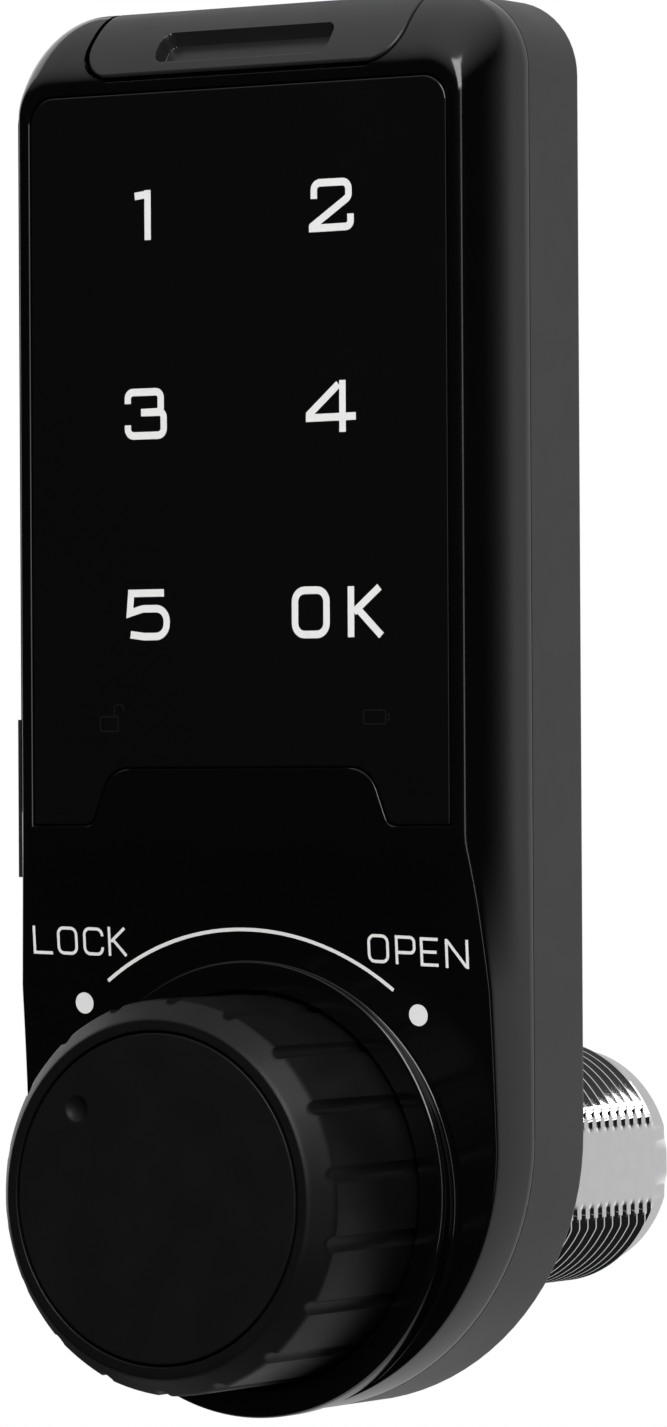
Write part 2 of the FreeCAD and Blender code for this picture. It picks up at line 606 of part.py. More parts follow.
def power_socket():
    """Metal socket shell on the board with a contact tongue, open to the left."""
    half = SOCKET_HEIGHT / 2
    y0 = BOARD_REAR_Y
    y1 = y0 + SOCKET_DEPTH
    skin = SOCKET_SKIN
    rounding = SOCKET_DEPTH / 2 - 0.01

    def side_face(inset):
        corners = [(y0 + inset, PORT_Z - half + inset, rounding - inset),
                   (y1 - inset, PORT_Z - half + inset, rounding - inset),
                   (y1 - inset, PORT_Z + half - inset, rounding - inset),
                   (y0 + inset, PORT_Z + half - inset, rounding - inset)]
        return rounded_face(corners, lambda y, z: Vector(SOCKET_MOUTH_X, y, z))

    shell = side_face(0).extrude(Vector(SOCKET_LENGTH, 0, 0))
    shell = shell.cut(side_face(skin).extrude(Vector(SOCKET_LENGTH - 2 * skin, 0, 0)))
    middle = (y0 + y1) / 2
    tongue = box(SOCKET_MOUTH_X + 1, SOCKET_MOUTH_X + SOCKET_LENGTH - skin,
                 middle - TONGUE_HALF_THICKNESS, middle + TONGUE_HALF_THICKNESS,
                 PORT_Z - TONGUE_HALF_WIDTH, PORT_Z + TONGUE_HALF_WIDTH)
    return shell.fuse(tongue)


def port_flap():
    """Flap over the power socket with a hinge pin at each end of its rear edge."""
    z0 = PORT_Z - FLAP_HEIGHT / 2
    flap = rounded_face(flap_corners(0), lambda x, y: Vector(x, y, z0)).extrude(Vector(0, 0, FLAP_HEIGHT))
    x, y = flap_axis()
    return flap.fuse(upright(FLAP_PIN, z0 - FLAP_PIN_LENGTH, z0 + FLAP_HEIGHT + FLAP_PIN_LENGTH, x, y))


def knob_grip():
    """Knob shell: grooved bevelled wall, web, ribs and a hub on the square of the spindle."""
    profile = [
        (KNOB_RIM_RADIUS, KNOB_FRONT_Y), (KNOB_RADIUS, KNOB_FRONT_Y + KNOB_BEVEL),
        (KNOB_RADIUS, KNOB_REAR_Y), (KNOB_RADIUS - KNOB_WALL, KNOB_REAR_Y),
        (KNOB_RADIUS - KNOB_WALL, WEB_REAR_Y), (HUB_RADIUS, WEB_REAR_Y),
        (HUB_RADIUS, HUB_REAR_Y), (0, HUB_REAR_Y), (0, CAP_SEAT_Y),
        (CAP_RADIUS + CAP_GAP, CAP_SEAT_Y), (CAP_RADIUS + CAP_GAP, KNOB_FRONT_Y),
    ]
    points = [Vector(r, y, 0) for r, y in profile]
    shell = Part.Face(Part.makePolygon(points + points[:1])).revolve(Vector(0, 0, 0), Vector(0, 1, 0), 360)
    ribs = []
    rib_reach = KNOB_RADIUS - KNOB_WALL / 2
    for k in range(RIB_COUNT):
        rib = box(HUB_RADIUS - 1, rib_reach, WEB_REAR_Y - 0.1, COLLAR_FLOOR_Y - 2 * WALL,
                  -RIB_THICKNESS / 2, RIB_THICKNESS / 2)
        rib.rotate(Vector(0, 0, 0), Vector(0, 1, 0), 360.0 * k / RIB_COUNT)
        ribs.append(rib)
    shell = shell.multiFuse(ribs)
    centre = KNOB_RADIUS + GROOVE_RADIUS - GROOVE_DEPTH
    cuts = [rod(GROOVE_RADIUS, KNOB_FRONT_Y - 1, KNOB_REAR_Y + 1, x, z)
            for x, z in ring_places(GROOVE_COUNT, GROOVE_ANGLE, centre)]
    cuts.append(square_bar(SPINDLE_SQUARE + 2 * SEAT_CLEARANCE, spindle_front_y() - 0.3, 0))
    cuts.append(rod(SCREW_RADIUS + SCREW_CLEARANCE, CAP_SEAT_Y - 1, 0))
    seat_y = CAP_SEAT_Y + SCREW_HEAD + SCREW_CLEARANCE
    cuts.append(rod(SCREW_HEAD_RADIUS + SCREW_CLEARANCE, CAP_SEAT_Y - 1, seat_y))
    return shell.cut(Part.makeCompound(cuts))


def spindle_front_y():
    """Front end of the spindle, behind the head of the knob screw."""
    return CAP_SEAT_Y + SCREW_HEAD + SCREW_CLEARANCE + WEB_THICKNESS


def knob_cap():
    """Matt disc that closes the knob, with the pointer dimple."""
    disc = rod(CAP_RADIUS, KNOB_FRONT_Y, KNOB_FRONT_Y + CAP_THICKNESS)
    angle = math.radians(POINTER_ANGLE)
    x = POINTER_RADIUS * math.cos(angle)
    z = POINTER_RADIUS * math.sin(angle)
    depth = 0.45
    ball = (POINTER_SIZE ** 2 + depth ** 2) / (2 * depth)
    return disc.cut(Part.makeSphere(ball, Vector(x, KNOB_FRONT_Y + depth - ball, z)))


def knob_screw():
    """Screw that draws the knob onto the spindle."""
    head = rod(SCREW_HEAD_RADIUS, CAP_SEAT_Y + SCREW_CLEARANCE, CAP_SEAT_Y + SCREW_CLEARANCE + SCREW_HEAD)
    shank = rod(SCREW_RADIUS, CAP_SEAT_Y + SCREW_HEAD, spindle_front_y() + KNOB_SCREW_REACH)
    return head.fuse(shank)


def spindle():
    """Turned and milled shaft from the knob through the barrel to the cam seat."""
    front = spindle_front_y()
    journal_start = FLANGE_Y + JOURNAL_RELIEF
    collar_start = BARREL_LENGTH + RUNNING_CLEARANCE
    pieces = [
        rod(SPINDLE_NECK, HUB_REAR_Y + RUNNING_CLEARANCE, DISC_REAR_Y),
        square_bar(DISC_SQUARE, DISC_Y, CLIP_Y),
        rod(DISC_SQUARE / 2 + 1, CLIP_Y - 2 * RUNNING_CLEARANCE, journal_start),
        rod(JOURNAL_RADIUS, journal_start, BARREL_LENGTH),
        rod(SPINDLE_COLLAR, collar_start, collar_start + COLLAR_THICKNESS),
        rod(JOURNAL_RADIUS, BARREL_LENGTH - 1, BARREL_LENGTH + COLLAR_THICKNESS / 2),
        square_bar(CAM_SQUARE, BARREL_LENGTH + COLLAR_THICKNESS / 2, SPINDLE_END_Y),
    ]
    body = square_bar(SPINDLE_SQUARE, front, DISC_REAR_Y).multiFuse(pieces)
    relief = tube(JOURNAL_RADIUS + 1, JOURNAL_RADIUS - JOURNAL_RELIEF,
                  journal_start + JOURNAL_LENGTH, BARREL_LENGTH - JOURNAL_LENGTH)
    groove = tube(2 * CLIP_RADIUS, DISC_SQUARE / 2 + 1 - CLIP_GROOVE,
                  CLIP_Y - 0.02, CLIP_Y + CLIP_THICKNESS + 0.02)
    screw_hole = rod(SCREW_RADIUS + SEAT_CLEARANCE, front - 1, front + KNOB_SCREW_REACH + 1)
    cam_hole = rod(CAM_SCREW_RADIUS, SPINDLE_END_Y - CAM_SCREW_DEPTH, SPINDLE_END_Y + 1)
    return body.cut(Part.makeCompound([relief, groove, screw_hole, cam_hole]))


def lock_disc():
    """Disc on the spindle: two notches for the plunger and a curved slot for the stop pin."""
    disc = rod(DISC_RADIUS, DISC_Y, DISC_REAR_Y)
    cuts = [square_bar(DISC_SQUARE + 2 * SEAT_CLEARANCE, DISC_Y - 1, DISC_REAR_Y + 1)]
    for angle in (90.0, 90.0 + TRAVEL_ANGLE):
        notch = box(DISC_RADIUS - NOTCH_DEPTH, DISC_RADIUS + 1, DISC_Y - 1, DISC_REAR_Y + 1,
                    -NOTCH_WIDTH / 2, NOTCH_WIDTH / 2)
        notch.rotate(Vector(0, 0, 0), Vector(0, 1, 0), -angle)
        cuts.append(notch)
    cuts.append(curved_slot(STOP_PIN + STOP_CLEARANCE, STOP_ANGLE, STOP_ANGLE + TRAVEL_ANGLE))
    return disc.cut(Part.makeCompound(cuts))


def curved_slot(half, angle0, angle1):
    """Round-ended slot along the stop circle between two angles, cut through the disc."""
    def at(radius, angle):
        a = math.radians(angle)
        return Vector(radius * math.cos(a), DISC_Y - 1, radius * math.sin(a))

    def end_cap(angle, side):
        beyond = math.degrees(half / STOP_RADIUS) * side
        tip = at(STOP_RADIUS / math.cos(math.radians(beyond)), angle + beyond)
        centre = at(STOP_RADIUS, angle)
        return centre + (tip - centre).normalize() * half

    middle = (angle0 + angle1) / 2
    outer = STOP_RADIUS + half
    inner = STOP_RADIUS - half
    wire = Part.Wire([
        Part.Arc(at(outer, angle0), at(outer, middle), at(outer, angle1)).toShape(),
        Part.Arc(at(outer, angle1), end_cap(angle1, 1), at(inner, angle1)).toShape(),
        Part.Arc(at(inner, angle1), at(inner, middle), at(inner, angle0)).toShape(),
        Part.Arc(at(inner, angle0), end_cap(angle0, -1), at(outer, angle0)).toShape(),
    ])
    return Part.Face(wire).extrude(Vector(0, DISC_THICKNESS + 2, 0))


def stop_pin():
    """Pin in the barrel flange that ends the knob's turn both ways."""
    x, z = ring_places(1, STOP_ANGLE, STOP_RADIUS)[0]
    return rod(STOP_PIN, DISC_Y + RUNNING_CLEARANCE, -PAD_THICKNESS - SEAT_CLEARANCE, x, z)


def thrust_washer():
    """Thin ring between the clip and the flange."""
    return tube(CLIP_RADIUS, DISC_SQUARE / 2 + 1 + SCREW_CLEARANCE, WASHER_Y, WASHER_Y + WASHER_THICKNESS)


def retaining_clip():
    """Open spring clip in the groove of the spindle."""
    inner = DISC_SQUARE / 2 + 1 - CLIP_GROOVE + SEAT_CLEARANCE
    clip = tube(CLIP_RADIUS, inner, CLIP_Y, CLIP_Y + CLIP_THICKNESS)
    mouth = box(-inner * 0.8, inner * 0.8, CLIP_Y - 1, CLIP_Y + 1, -FAR, 0)
    return clip.cut(mouth)


def threaded_rod():
    """Threaded length behind the case, as one turned profile with evenly spaced V grooves."""
    count = int(THREAD_LENGTH / RING_SPACING)
    first = (THREAD_LENGTH - (count - 1) * RING_SPACING) / 2
    profile = [(0, FLANGE_Y), (BARREL_RADIUS, FLANGE_Y)]
    for k in range(count):
        y = first + k * RING_SPACING
        profile += [(BARREL_RADIUS, y - THREAD_PITCH / 2), (BARREL_RADIUS - THREAD_DEPTH, y),
                    (BARREL_RADIUS, y + THREAD_PITCH / 2)]
    profile += [(BARREL_RADIUS, THREAD_LENGTH), (0, THREAD_LENGTH)]
    points = [Vector(r, y, 0) for r, y in profile]
    return Part.Face(Part.makePolygon(points + points[:1])).revolve(Vector(0, 0, 0), Vector(0, 1, 0), 360)


def threaded_barrel():
    """Barrel with its flange, two flats, plain tip and bore for the spindle."""
    shank = threaded_rod()
    tip = rod(TIP_RADIUS, THREAD_LENGTH, BARREL_LENGTH)
    end = [e for e in tip.Edges if abs(e.BoundBox.YMin - BARREL_LENGTH) < 1e-6]
    tip = tip.makeChamfer(TIP_CHAMFER, end)
    body = shank.fuse(tip)
    for side in (-1, 1):
        x0, x1 = sorted((side * BARREL_FLAT, side * FAR))
        body = body.cut(box(x0, x1, 0, FAR, -FAR, FAR))
    body = body.fuse(rod(FLANGE_RADIUS, FLANGE_Y, -PAD_THICKNESS))
    cuts = [rod(JOURNAL_RADIUS + RUNNING_CLEARANCE, -FAR, FAR)]
    for x, z in ring_places(FLANGE_SCREW_COUNT, FLANGE_SCREW_ANGLE, FLANGE_SCREW_CIRCLE):
        cuts.append(rod(SCREW_RADIUS + SCREW_CLEARANCE, -FAR, 0, x, z))
        cuts.append(countersink(x, z, SCREW_CLEARANCE))
    x, z = ring_places(1, STOP_ANGLE, STOP_RADIUS)[0]
    cuts.append(rod(STOP_PIN + SEAT_CLEARANCE, FLANGE_Y - 1, -PAD_THICKNESS, x, z))
    return body.cut(Part.makeCompound(cuts))


def countersink(x, z, gap):
    """Cone of a flat screw head in the flange's front face, widened by a gap."""
    depth = SCREW_HEAD_RADIUS - SCREW_RADIUS
    top = SCREW_HEAD_RADIUS + gap
    return Part.makeCone(top, SCREW_RADIUS + gap, depth, Vector(x, FLANGE_Y, z), Vector(0, 1, 0))


def barrel_screws():
    """Flat screws that hold the barrel's flange on its pad."""
    screws = []
    for x, z in ring_places(FLANGE_SCREW_COUNT, FLANGE_SCREW_ANGLE, FLANGE_SCREW_CIRCLE):
        shank = rod(SCREW_RADIUS, FLANGE_Y + 0.1, -REAR_WALL, x, z)
        screws.append(shank.fuse(countersink(x, z, 0)))
    return Part.makeCompound(screws)


def cell(x, nub_up):
    """Round battery cell with its contact nub at one end."""
    bottom = CELL_BOTTOM_Z
    if nub_up:
        can = upright(CELL_RADIUS, bottom, CELL_TOP_Z - CELL_NUB, x, CELL_Y)
        nub = upright(NUB_RADIUS, CELL_TOP_Z - CELL_NUB, CELL_TOP_Z, x, CELL_Y)
    else:
        can = upright(CELL_RADIUS, bottom + CELL_NUB, CELL_TOP_Z, x, CELL_Y)
        nub = upright(NUB_RADIUS, bottom, bottom + CELL_NUB, x, CELL_Y)
    ends = [e for e in can.Edges if abs(e.BoundBox.ZLength) < 1e-6]
    return can.makeFillet(0.5, ends).fuse(nub)


def bay_contact(x):
    """Folded leaf spring on the bay floor that presses a cell upwards."""
    floor = BAY_FLOOR_Z + BAY_WALL
    half = SPRING_HALF_LENGTH
    t = CONTACT_THICKNESS
    rise = CELL_BOTTOM_Z - SEAT_CLEARANCE - floor
    profile = [(-half, 0), (half, 0), (half, t), (-half + 1.4 * t, t), (0.4, rise - t),
               (half - 0.6, rise - 3 * t), (half, rise - 2.2 * t), (0.4, rise), (-0.4, rise), (-half, t)]
    points = [Vector(x + u, CELL_Y - SPRING_HALF_WIDTH, floor + v) for u, v in profile]
    return Part.Face(Part.makePolygon(points + points[:1])).extrude(Vector(0, 2 * SPRING_HALF_WIDTH, 0))


def battery_door():
    """Sliding cap over the battery bay: crowned skin, finger grip and two guide legs."""
    rear_y = -DOOR_REAR_WALL
    outer = crowned_body(0).fuse(case_prism(SEAM_Y, rear_y, 0))
    cap = outer.common(door_column(0, FRONT_Y - 1, rear_y)).removeSplitter()
    half = DOOR_HALF_WIDTH - LEG_THICKNESS - DOOR_GAP
    cap = cap.cut(box(-half, half, DOOR_POCKET_Y, 1, DOOR_BOTTOM_Z - 1, DOOR_POCKET_Z))
    for side in (-1, 1):
        inner_x = side * (BAY_HALF_WIDTH + BAY_WALL + DOOR_GAP)
        x0, x1 = sorted((inner_x, inner_x + side * LEG_THICKNESS))
        leg_top = DOOR_POCKET_Z + 0.5
        cap = cap.fuse(box(x0, x1, CELL_Y - LEG_DEPTH / 2, CELL_Y + LEG_DEPTH / 2,
                           leg_top - LEG_LENGTH, leg_top))
    return cap.cut(finger_grip())


def finger_grip():
    """Long round-ended pocket sunk square to the sloping front of the door."""
    depth = FRONT_Y + 1.3
    share = (1 - (depth - FRONT_Y) / TOP_CROWN_DEPTH) ** 2
    height = TOP_Z - TOP_CROWN * share
    end = GRIP_WIDTH / 2 - 0.01
    corners = [(-GRIP_LENGTH / 2, -GRIP_WIDTH / 2, end), (GRIP_LENGTH / 2, -GRIP_WIDTH / 2, end),
               (GRIP_LENGTH / 2, GRIP_WIDTH / 2, end), (-GRIP_LENGTH / 2, GRIP_WIDTH / 2, end)]
    lean = math.radians(GRIP_LEAN)
    along = Vector(0, math.cos(lean), math.sin(lean))
    inward = Vector(0, math.sin(lean), -math.cos(lean))
    base = Vector(0, depth, height) - inward

    face = rounded_face(corners, lambda x, s: base + Vector(x, 0, 0) + along * s)
    return face.extrude(inward * (1 + GRIP_DEPTH))


def door_contact():
    """Plate under the door that joins the two cells."""
    half = CELL_X + CONTACT_LAP
    return box(-half, half, CELL_Y - CONTACT_HALF_WIDTH, CELL_Y + CONTACT_HALF_WIDTH,
               DOOR_POCKET_Z - CONTACT_THICKNESS, DOOR_POCKET_Z)


def solenoid_frame():
    """Folded steel strap round the coil: back plate with ears, lower and upper plate."""
    rear = DISC_MIDDLE_Y + COIL_RADIUS
    front = DISC_MIDDLE_Y - COIL_RADIUS
    half = FRAME_HALF_WIDTH
    ears = [(-EAR_X - EAR_RADIUS, EAR_Z - EAR_RADIUS, 1.5), (EAR_X + EAR_RADIUS, EAR_Z - EAR_RADIUS, 1.5),
            (EAR_X + EAR_RADIUS, EAR_Z + EAR_RADIUS, 1.5), (-EAR_X - EAR_RADIUS, EAR_Z + EAR_RADIUS, 1.5)]
    frame = box(-half, half, rear - FRAME_PLATE, rear, FRAME_BOTTOM_Z, FRAME_TOP_Z).multiFuse([
        plate(ears, rear - FRAME_PLATE, rear),
        box(-half, half, front, rear, FRAME_BOTTOM_Z, FRAME_BOTTOM_Z + FRAME_PLATE),
        box(-half, half, front, rear, FRAME_TOP_Z - FRAME_PLATE, FRAME_TOP_Z),
    ])
    frame = frame.cut(upright(PLUNGER_RADIUS + PLUNGER_CLEARANCE, 0, FRAME_BOTTOM_Z + 2, 0, plunger_y()))
    for side in (-1, 1):
        frame = frame.cut(rod(SMALL_SCREW_RADIUS + SCREW_CLEARANCE, -FAR, 0, side * EAR_X, EAR_Z))
    return frame


def plunger_y():
    """Depth of the plunger's axis, over the middle of the lock disc."""
    return DISC_MIDDLE_Y


def solenoid_coil():
    """Wound bobbin with a round bore for the plunger."""
    gap = SEAT_CLEARANCE
    z0 = FRAME_BOTTOM_Z + FRAME_PLATE + gap
    z1 = FRAME_TOP_Z - FRAME_PLATE - gap
    flange = 0.8
    radius = COIL_RADIUS - FRAME_PLATE - gap
    profile = [(COIL_CORE - 0.5, z0), (radius, z0), (radius, z0 + flange), (radius - 0.4, z0 + flange),
               (radius - 0.4, z1 - flange), (radius, z1 - flange), (radius, z1), (COIL_CORE - 0.5, z1)]
    points = [Vector(r, 0, z) for r, z in profile]
    body = Part.Face(Part.makePolygon(points + points[:1])).revolve(Vector(0, 0, 0), Vector(0, 0, 1), 360)
    body.translate(Vector(0, plunger_y(), 0))
    return body


def solenoid_screws():
    """Two small screws through the ears of the frame."""
    screws = []
    front = DISC_MIDDLE_Y + COIL_RADIUS - FRAME_PLATE
    for side in (-1, 1):
        head = rod(SMALL_HEAD_RADIUS, front - 1.0, front, side * EAR_X, EAR_Z)
        screws.append(head.fuse(rod(SMALL_SCREW_RADIUS, front - 0.5, -REAR_WALL, side * EAR_X, EAR_Z)))
    return Part.makeCompound(screws)


def blocking_plunger():
    """Steel plunger that drops into a notch of the lock disc."""
    rod_shape = upright(PLUNGER_RADIUS, PLUNGER_TIP_Z, PLUNGER_TIP_Z + PLUNGER_LENGTH, 0, plunger_y())
    tip = [e for e in rod_shape.Edges if abs(e.BoundBox.ZMax - PLUNGER_TIP_Z) < 1e-6]
    return rod_shape.makeChamfer(0.3, tip)


def case_screws():
    """Four screws that join the base to the cover."""
    screws = []
    for x, z in CASE_SCREWS:
        head = rod(SCREW_HEAD_RADIUS, -SCREW_HEAD, -SCREW_CLEARANCE, x, z)
        screws.append(head.fuse(rod(SCREW_RADIUS, SEAM_Y - SCREW_REACH, -SCREW_HEAD / 2, x, z)))
    return Part.makeCompound(screws)


def build():
    """All pieces of the lock by node name."""
    return {
        "front_cover": front_cover(),
        "rear_base": rear_base(),
        "touch_panel": touch_panel(),
        "light_guide": light_guide(),
        "key_lights": key_lights(),
        "touch_board": touch_board(),
        "controller_chip": controller_chip(),
        "buzzer": buzzer(),
        "power_socket": power_socket(),
        "port_flap": port_flap(),
        "knob_grip": knob_grip(),
        "knob_cap": knob_cap(),
        "knob_screw": knob_screw(),
        "spindle": spindle(),
        "lock_disc": lock_disc(),
        "stop_pin": stop_pin(),
        "thrust_washer": thrust_washer(),
        "retaining_clip": retaining_clip(),
        "threaded_barrel": threaded_barrel(),
        "barrel_screws": barrel_screws(),
        "battery_cell_left": cell(-CELL_X, True),
        "battery_cell_right": cell(CELL_X, False),
        "bay_contact_left": bay_contact(-CELL_X),
        "bay_contact_right": bay_contact(CELL_X),
        "battery_door": battery_door(),
        "door_contact": door_contact(),
        "solenoid_frame": solenoid_frame(),
        "solenoid_coil": solenoid_coil(),
        "solenoid_screws": solenoid_screws(),
        "blocking_plunger": blocking_plunger(),
        "case_screws": case_screws(),
    }


os.makedirs("parts", exist_ok=True)
for name, shape in build().items():
    shape.exportStep(os.path.join("parts", name + ".step"))
    state = "valid" if shape.isValid() else "NOT VALID"
    print(name, state, len(shape.Solids), "solids", round(shape.Volume, 1))
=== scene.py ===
"""Looks of a slim electronic locker lock: touch keypad, turning knob, battery door and threaded barrel.

Metres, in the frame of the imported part: X to the right seen from the front, the front towards -Y, Z up,
the origin on the knob's axis in the rear face. A depth is counted backwards from the keypad face.
"""

import math

import bmesh
import bpy
import numpy as np
from bpy.props import FloatProperty, FloatVectorProperty, IntProperty, PointerProperty
from mathutils import Matrix, Vector


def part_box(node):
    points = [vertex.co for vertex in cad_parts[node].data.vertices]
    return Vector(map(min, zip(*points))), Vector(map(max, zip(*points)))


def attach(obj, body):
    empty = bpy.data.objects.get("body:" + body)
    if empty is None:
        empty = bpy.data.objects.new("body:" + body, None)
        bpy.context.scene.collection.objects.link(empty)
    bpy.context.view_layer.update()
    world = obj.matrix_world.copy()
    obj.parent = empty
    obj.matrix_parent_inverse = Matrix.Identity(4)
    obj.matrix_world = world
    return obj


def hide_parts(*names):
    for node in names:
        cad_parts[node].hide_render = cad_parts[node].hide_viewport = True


bl_info = {
    "name": "Locker lock",
    "version": (1, 0, 0),
    "blender": (4, 5, 0),
    "location": "View3D > Sidebar > Locker lock",
    "description": "Makes the visible pieces of an electronic locker lock over its fixed frame",
    "category": "Object",
}

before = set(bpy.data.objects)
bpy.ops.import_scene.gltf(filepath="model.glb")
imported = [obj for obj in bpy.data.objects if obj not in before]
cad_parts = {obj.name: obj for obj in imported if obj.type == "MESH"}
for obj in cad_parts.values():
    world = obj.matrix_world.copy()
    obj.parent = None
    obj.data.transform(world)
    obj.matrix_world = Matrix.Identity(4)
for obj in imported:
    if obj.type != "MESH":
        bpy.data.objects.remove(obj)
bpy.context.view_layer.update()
MM = 0.001
WALL = 1.2 * MM               # wall of the cover and of the battery door
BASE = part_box("rear_base")
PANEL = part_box("touch_panel")
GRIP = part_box("knob_grip")
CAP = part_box("knob_cap")
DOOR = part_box("battery_door")
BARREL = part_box("threaded_barrel")
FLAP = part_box("port_flap")


# Sizes and colours

def length(name, default, description):
    """A length in metres that shows in the scene's units."""
    return FloatProperty(name=name, description=description, default=default, unit="LENGTH", precision=5)


def factor(name, default, description):
    """A plain number, which has no unit."""
    return FloatProperty(name=name, description=description, default=default)


def turn(name, degrees, description):
    """An angle, given in degrees."""
    return FloatProperty(name=name, description=description, default=math.radians(degrees), unit="ROTATION")


def shade(name, value, description):
    """A linear colour."""
    return FloatVectorProperty(name=name, description=description, default=value, size=3, subtype="COLOR",
                               min=0.0, max=1.0)


class CaseSizes(bpy.types.PropertyGroup):
    half_width: length("Half width", BASE[1].x, "Half the width of the case")
    top: length("Top", BASE[1].z, "Height of the top above the knob's axis")
    end_centre: length("End centre", BASE[0].z + BASE[1].x, "Height of the centre of the round lower end")
    front: length("Front", PANEL[0].y, "Place of the keypad face along Y")
    seam: length("Seam", PANEL[0].y + 7.8 * MM, "Place of the seam between cover and base along Y")
    corner: length("Corner", 5.8 * MM, "Radius of the upper corners at the seam")
    side_crown: length("Side crown", 1.29 * MM, "How far the flanks lean in at the keypad face")
    side_depth: length("Side crown depth", 5.2 * MM, "Depth over which the flanks lean in")
    crown_loss: factor("Crown loss", 0.75, "Crown that the flanks lose to each depth of the ridge")
    depth_loss: factor("Crown depth loss", 0.4, "Depth of the crown that is lost to each depth of the ridge")
    top_crown: length("Top crown", 5.2 * MM, "How far the top leans down at the keypad face")
    top_depth: length("Top crown depth", 6.2 * MM, "Depth over which the top leans down")
    corner_tighten: length("Corner tighten", 2.8 * MM, "How much smaller the corners are at the keypad face")
    least_crown: length("Least crown", 0.08 * MM, "Crown that the flanks keep beside the lower face")
    edge_loss: factor("Edge loss", 0.15, "Rounding that the edge loses to each depth of the ridge")
    edge: length("Edge rounding", 0.6 * MM, "Rounding where flank and face meet")
    wall: length("Wall", WALL, "Wall thickness of the cover")


class DoorSizes(bpy.types.PropertyGroup):
    half_width: length("Half width", DOOR[1].x, "Half the width of the battery door")
    rear: length("Rear", DOOR[1].y, "Rear edge of the door along Y")
    corner: length("Lower corner", 2.6 * MM, "Radius of the door's lower corners")
    gap: length("Gap", 0.25 * MM, "Gap between the door and the cover")
    edge: length("Edge rounding", 0.22 * MM, "Rounding of the door's edge")
    slot_length: length("Grip length", 15.0 * MM, "Length of the finger grip")
    slot_width: length("Grip width", 2.7 * MM, "Width of the finger grip")
    slot_depth: length("Grip depth", 1.15 * MM, "Depth of the finger grip")
    slot_centre: length("Grip centre", 2.45 * MM, "Middle of the grip, along the slope from the lower edge")


class KeypadSizes(bpy.types.PropertyGroup):
    half_width: length("Half width", PANEL[1].x + 0.1 * MM, "Half the width of the panel's seat")
    top: length("Top", PANEL[1].z + 0.1 * MM, "Upper edge of the panel's seat")
    bottom: length("Bottom", PANEL[0].z - 0.1 * MM, "Lower edge of the panel's seat")
    corner: length("Corner", 2.0 * MM, "Radius of the upper corners")
    seat: length("Seat depth", 1.1 * MM, "Thickness of the panel")
    tab_height: length("Tab height", 4.25 * MM, "Height of the tab that the panel is notched round")
    tab_top: length("Tab half top", 11.4 * MM, "Half the width of the tab at its top")
    tab_bottom: length("Tab half bottom", 13.0 * MM, "Half the width of the tab at its foot")
    tab_corner: length("Tab corner", 2.4 * MM, "Radius of the tab's corners")
    window: length("Window margin", 4.8 * MM, "Width of the ledge under the panel")
    stroke: length("Stroke", 0.56 * MM, "Width of the numerals' strokes")


class KnobSizes(bpy.types.PropertyGroup):
    radius: length("Radius", GRIP[1].x, "Radius of the knob")
    front: length("Front", GRIP[0].y, "Place of the knob's front along Y")
    rear: length("Rear", GRIP[0].y + 13.5 * MM, "Rear edge of the knob's wall along Y")
    rim: length("Rim", 13.03 * MM, "Radius where the bevel begins at the front")
    bevel: length("Bevel", 1.8 * MM, "Depth of the bevel")
    well: length("Well", CAP[1].x + 0.2 * MM, "Radius of the recess for the disc")
    wall: length("Wall", 2.1 * MM, "Wall thickness of the knob")
    grooves: IntProperty(name="Grooves", description="Number of grooves round the knob", default=18)
    groove_start: turn("First groove", 8.0, "Direction of the first groove")
    groove_radius: length("Groove radius", 0.65 * MM, "Radius of a groove")
    groove_depth: length("Groove depth", 0.4 * MM, "Depth of a groove")
    flatness: factor("Flatness", 0.2, "How flat the lands between the grooves are, up to 1")
    pointer_angle: turn("Pointer", 137.0, "Direction of the pointer dimple")
    pointer_radius: length("Pointer radius", 9.4 * MM, "Distance of the dimple from the axis")
    pointer_size: length("Pointer size", 0.95 * MM, "Radius of the dimple")
    pointer_depth: length("Pointer depth", 0.45 * MM, "Depth of the dimple")
    collar: length("Collar", 16.9 * MM, "Outer radius of the collar round the knob")
    collar_bore: length("Collar bore", 14.8 * MM, "Inner radius of the collar")
    collar_step: length("Collar step", 1.1 * MM, "Depth of the collar's front behind the keypad face")
    floor: length("Floor", 2.8 * MM, "Depth of the collar's floor")
    hub_hole: length("Hub hole", 7.4 * MM, "Radius of the hole for the knob's hub")


class BarrelSizes(bpy.types.PropertyGroup):
    radius: length("Radius", 9.525 * MM, "Radius over the crests of the thread")
    pitch: length("Pitch", 1.27 * MM, "Pitch of the thread")
    thread_depth: length("Thread depth", 0.76 * MM, "Depth of the thread")
    flat: length("Flat", 8.3 * MM, "Distance of the two flats from the axis")
    length: length("Length", BARREL[1].y, "Length behind the case")
    tip: length("Tip length", 2.0 * MM, "Length of the plain tip")
    tip_radius: length("Tip radius", 8.75 * MM, "Radius of the plain tip")
    flange: length("Flange", BARREL[1].x, "Radius of the flange inside the case")
    bore: length("Bore", 5.55 * MM, "Radius of the bore")


class PrintSizes(bpy.types.PropertyGroup):
    arc_radius: length("Arc radius", 21.05 * MM, "Radius of the arc between the words")
    arc_width: length("Arc width", 0.27 * MM, "Width of the arc")
    word_height: length("Word height", 2.12 * MM, "Height of the words")
    word_stroke: length("Word stroke", 0.23 * MM, "Width of the words' strokes")
    dot_radius: length("Dot radius", 0.80 * MM, "Radius of the two dots")
    lift: length("Lift", 0.012 * MM, "Thickness of the print")


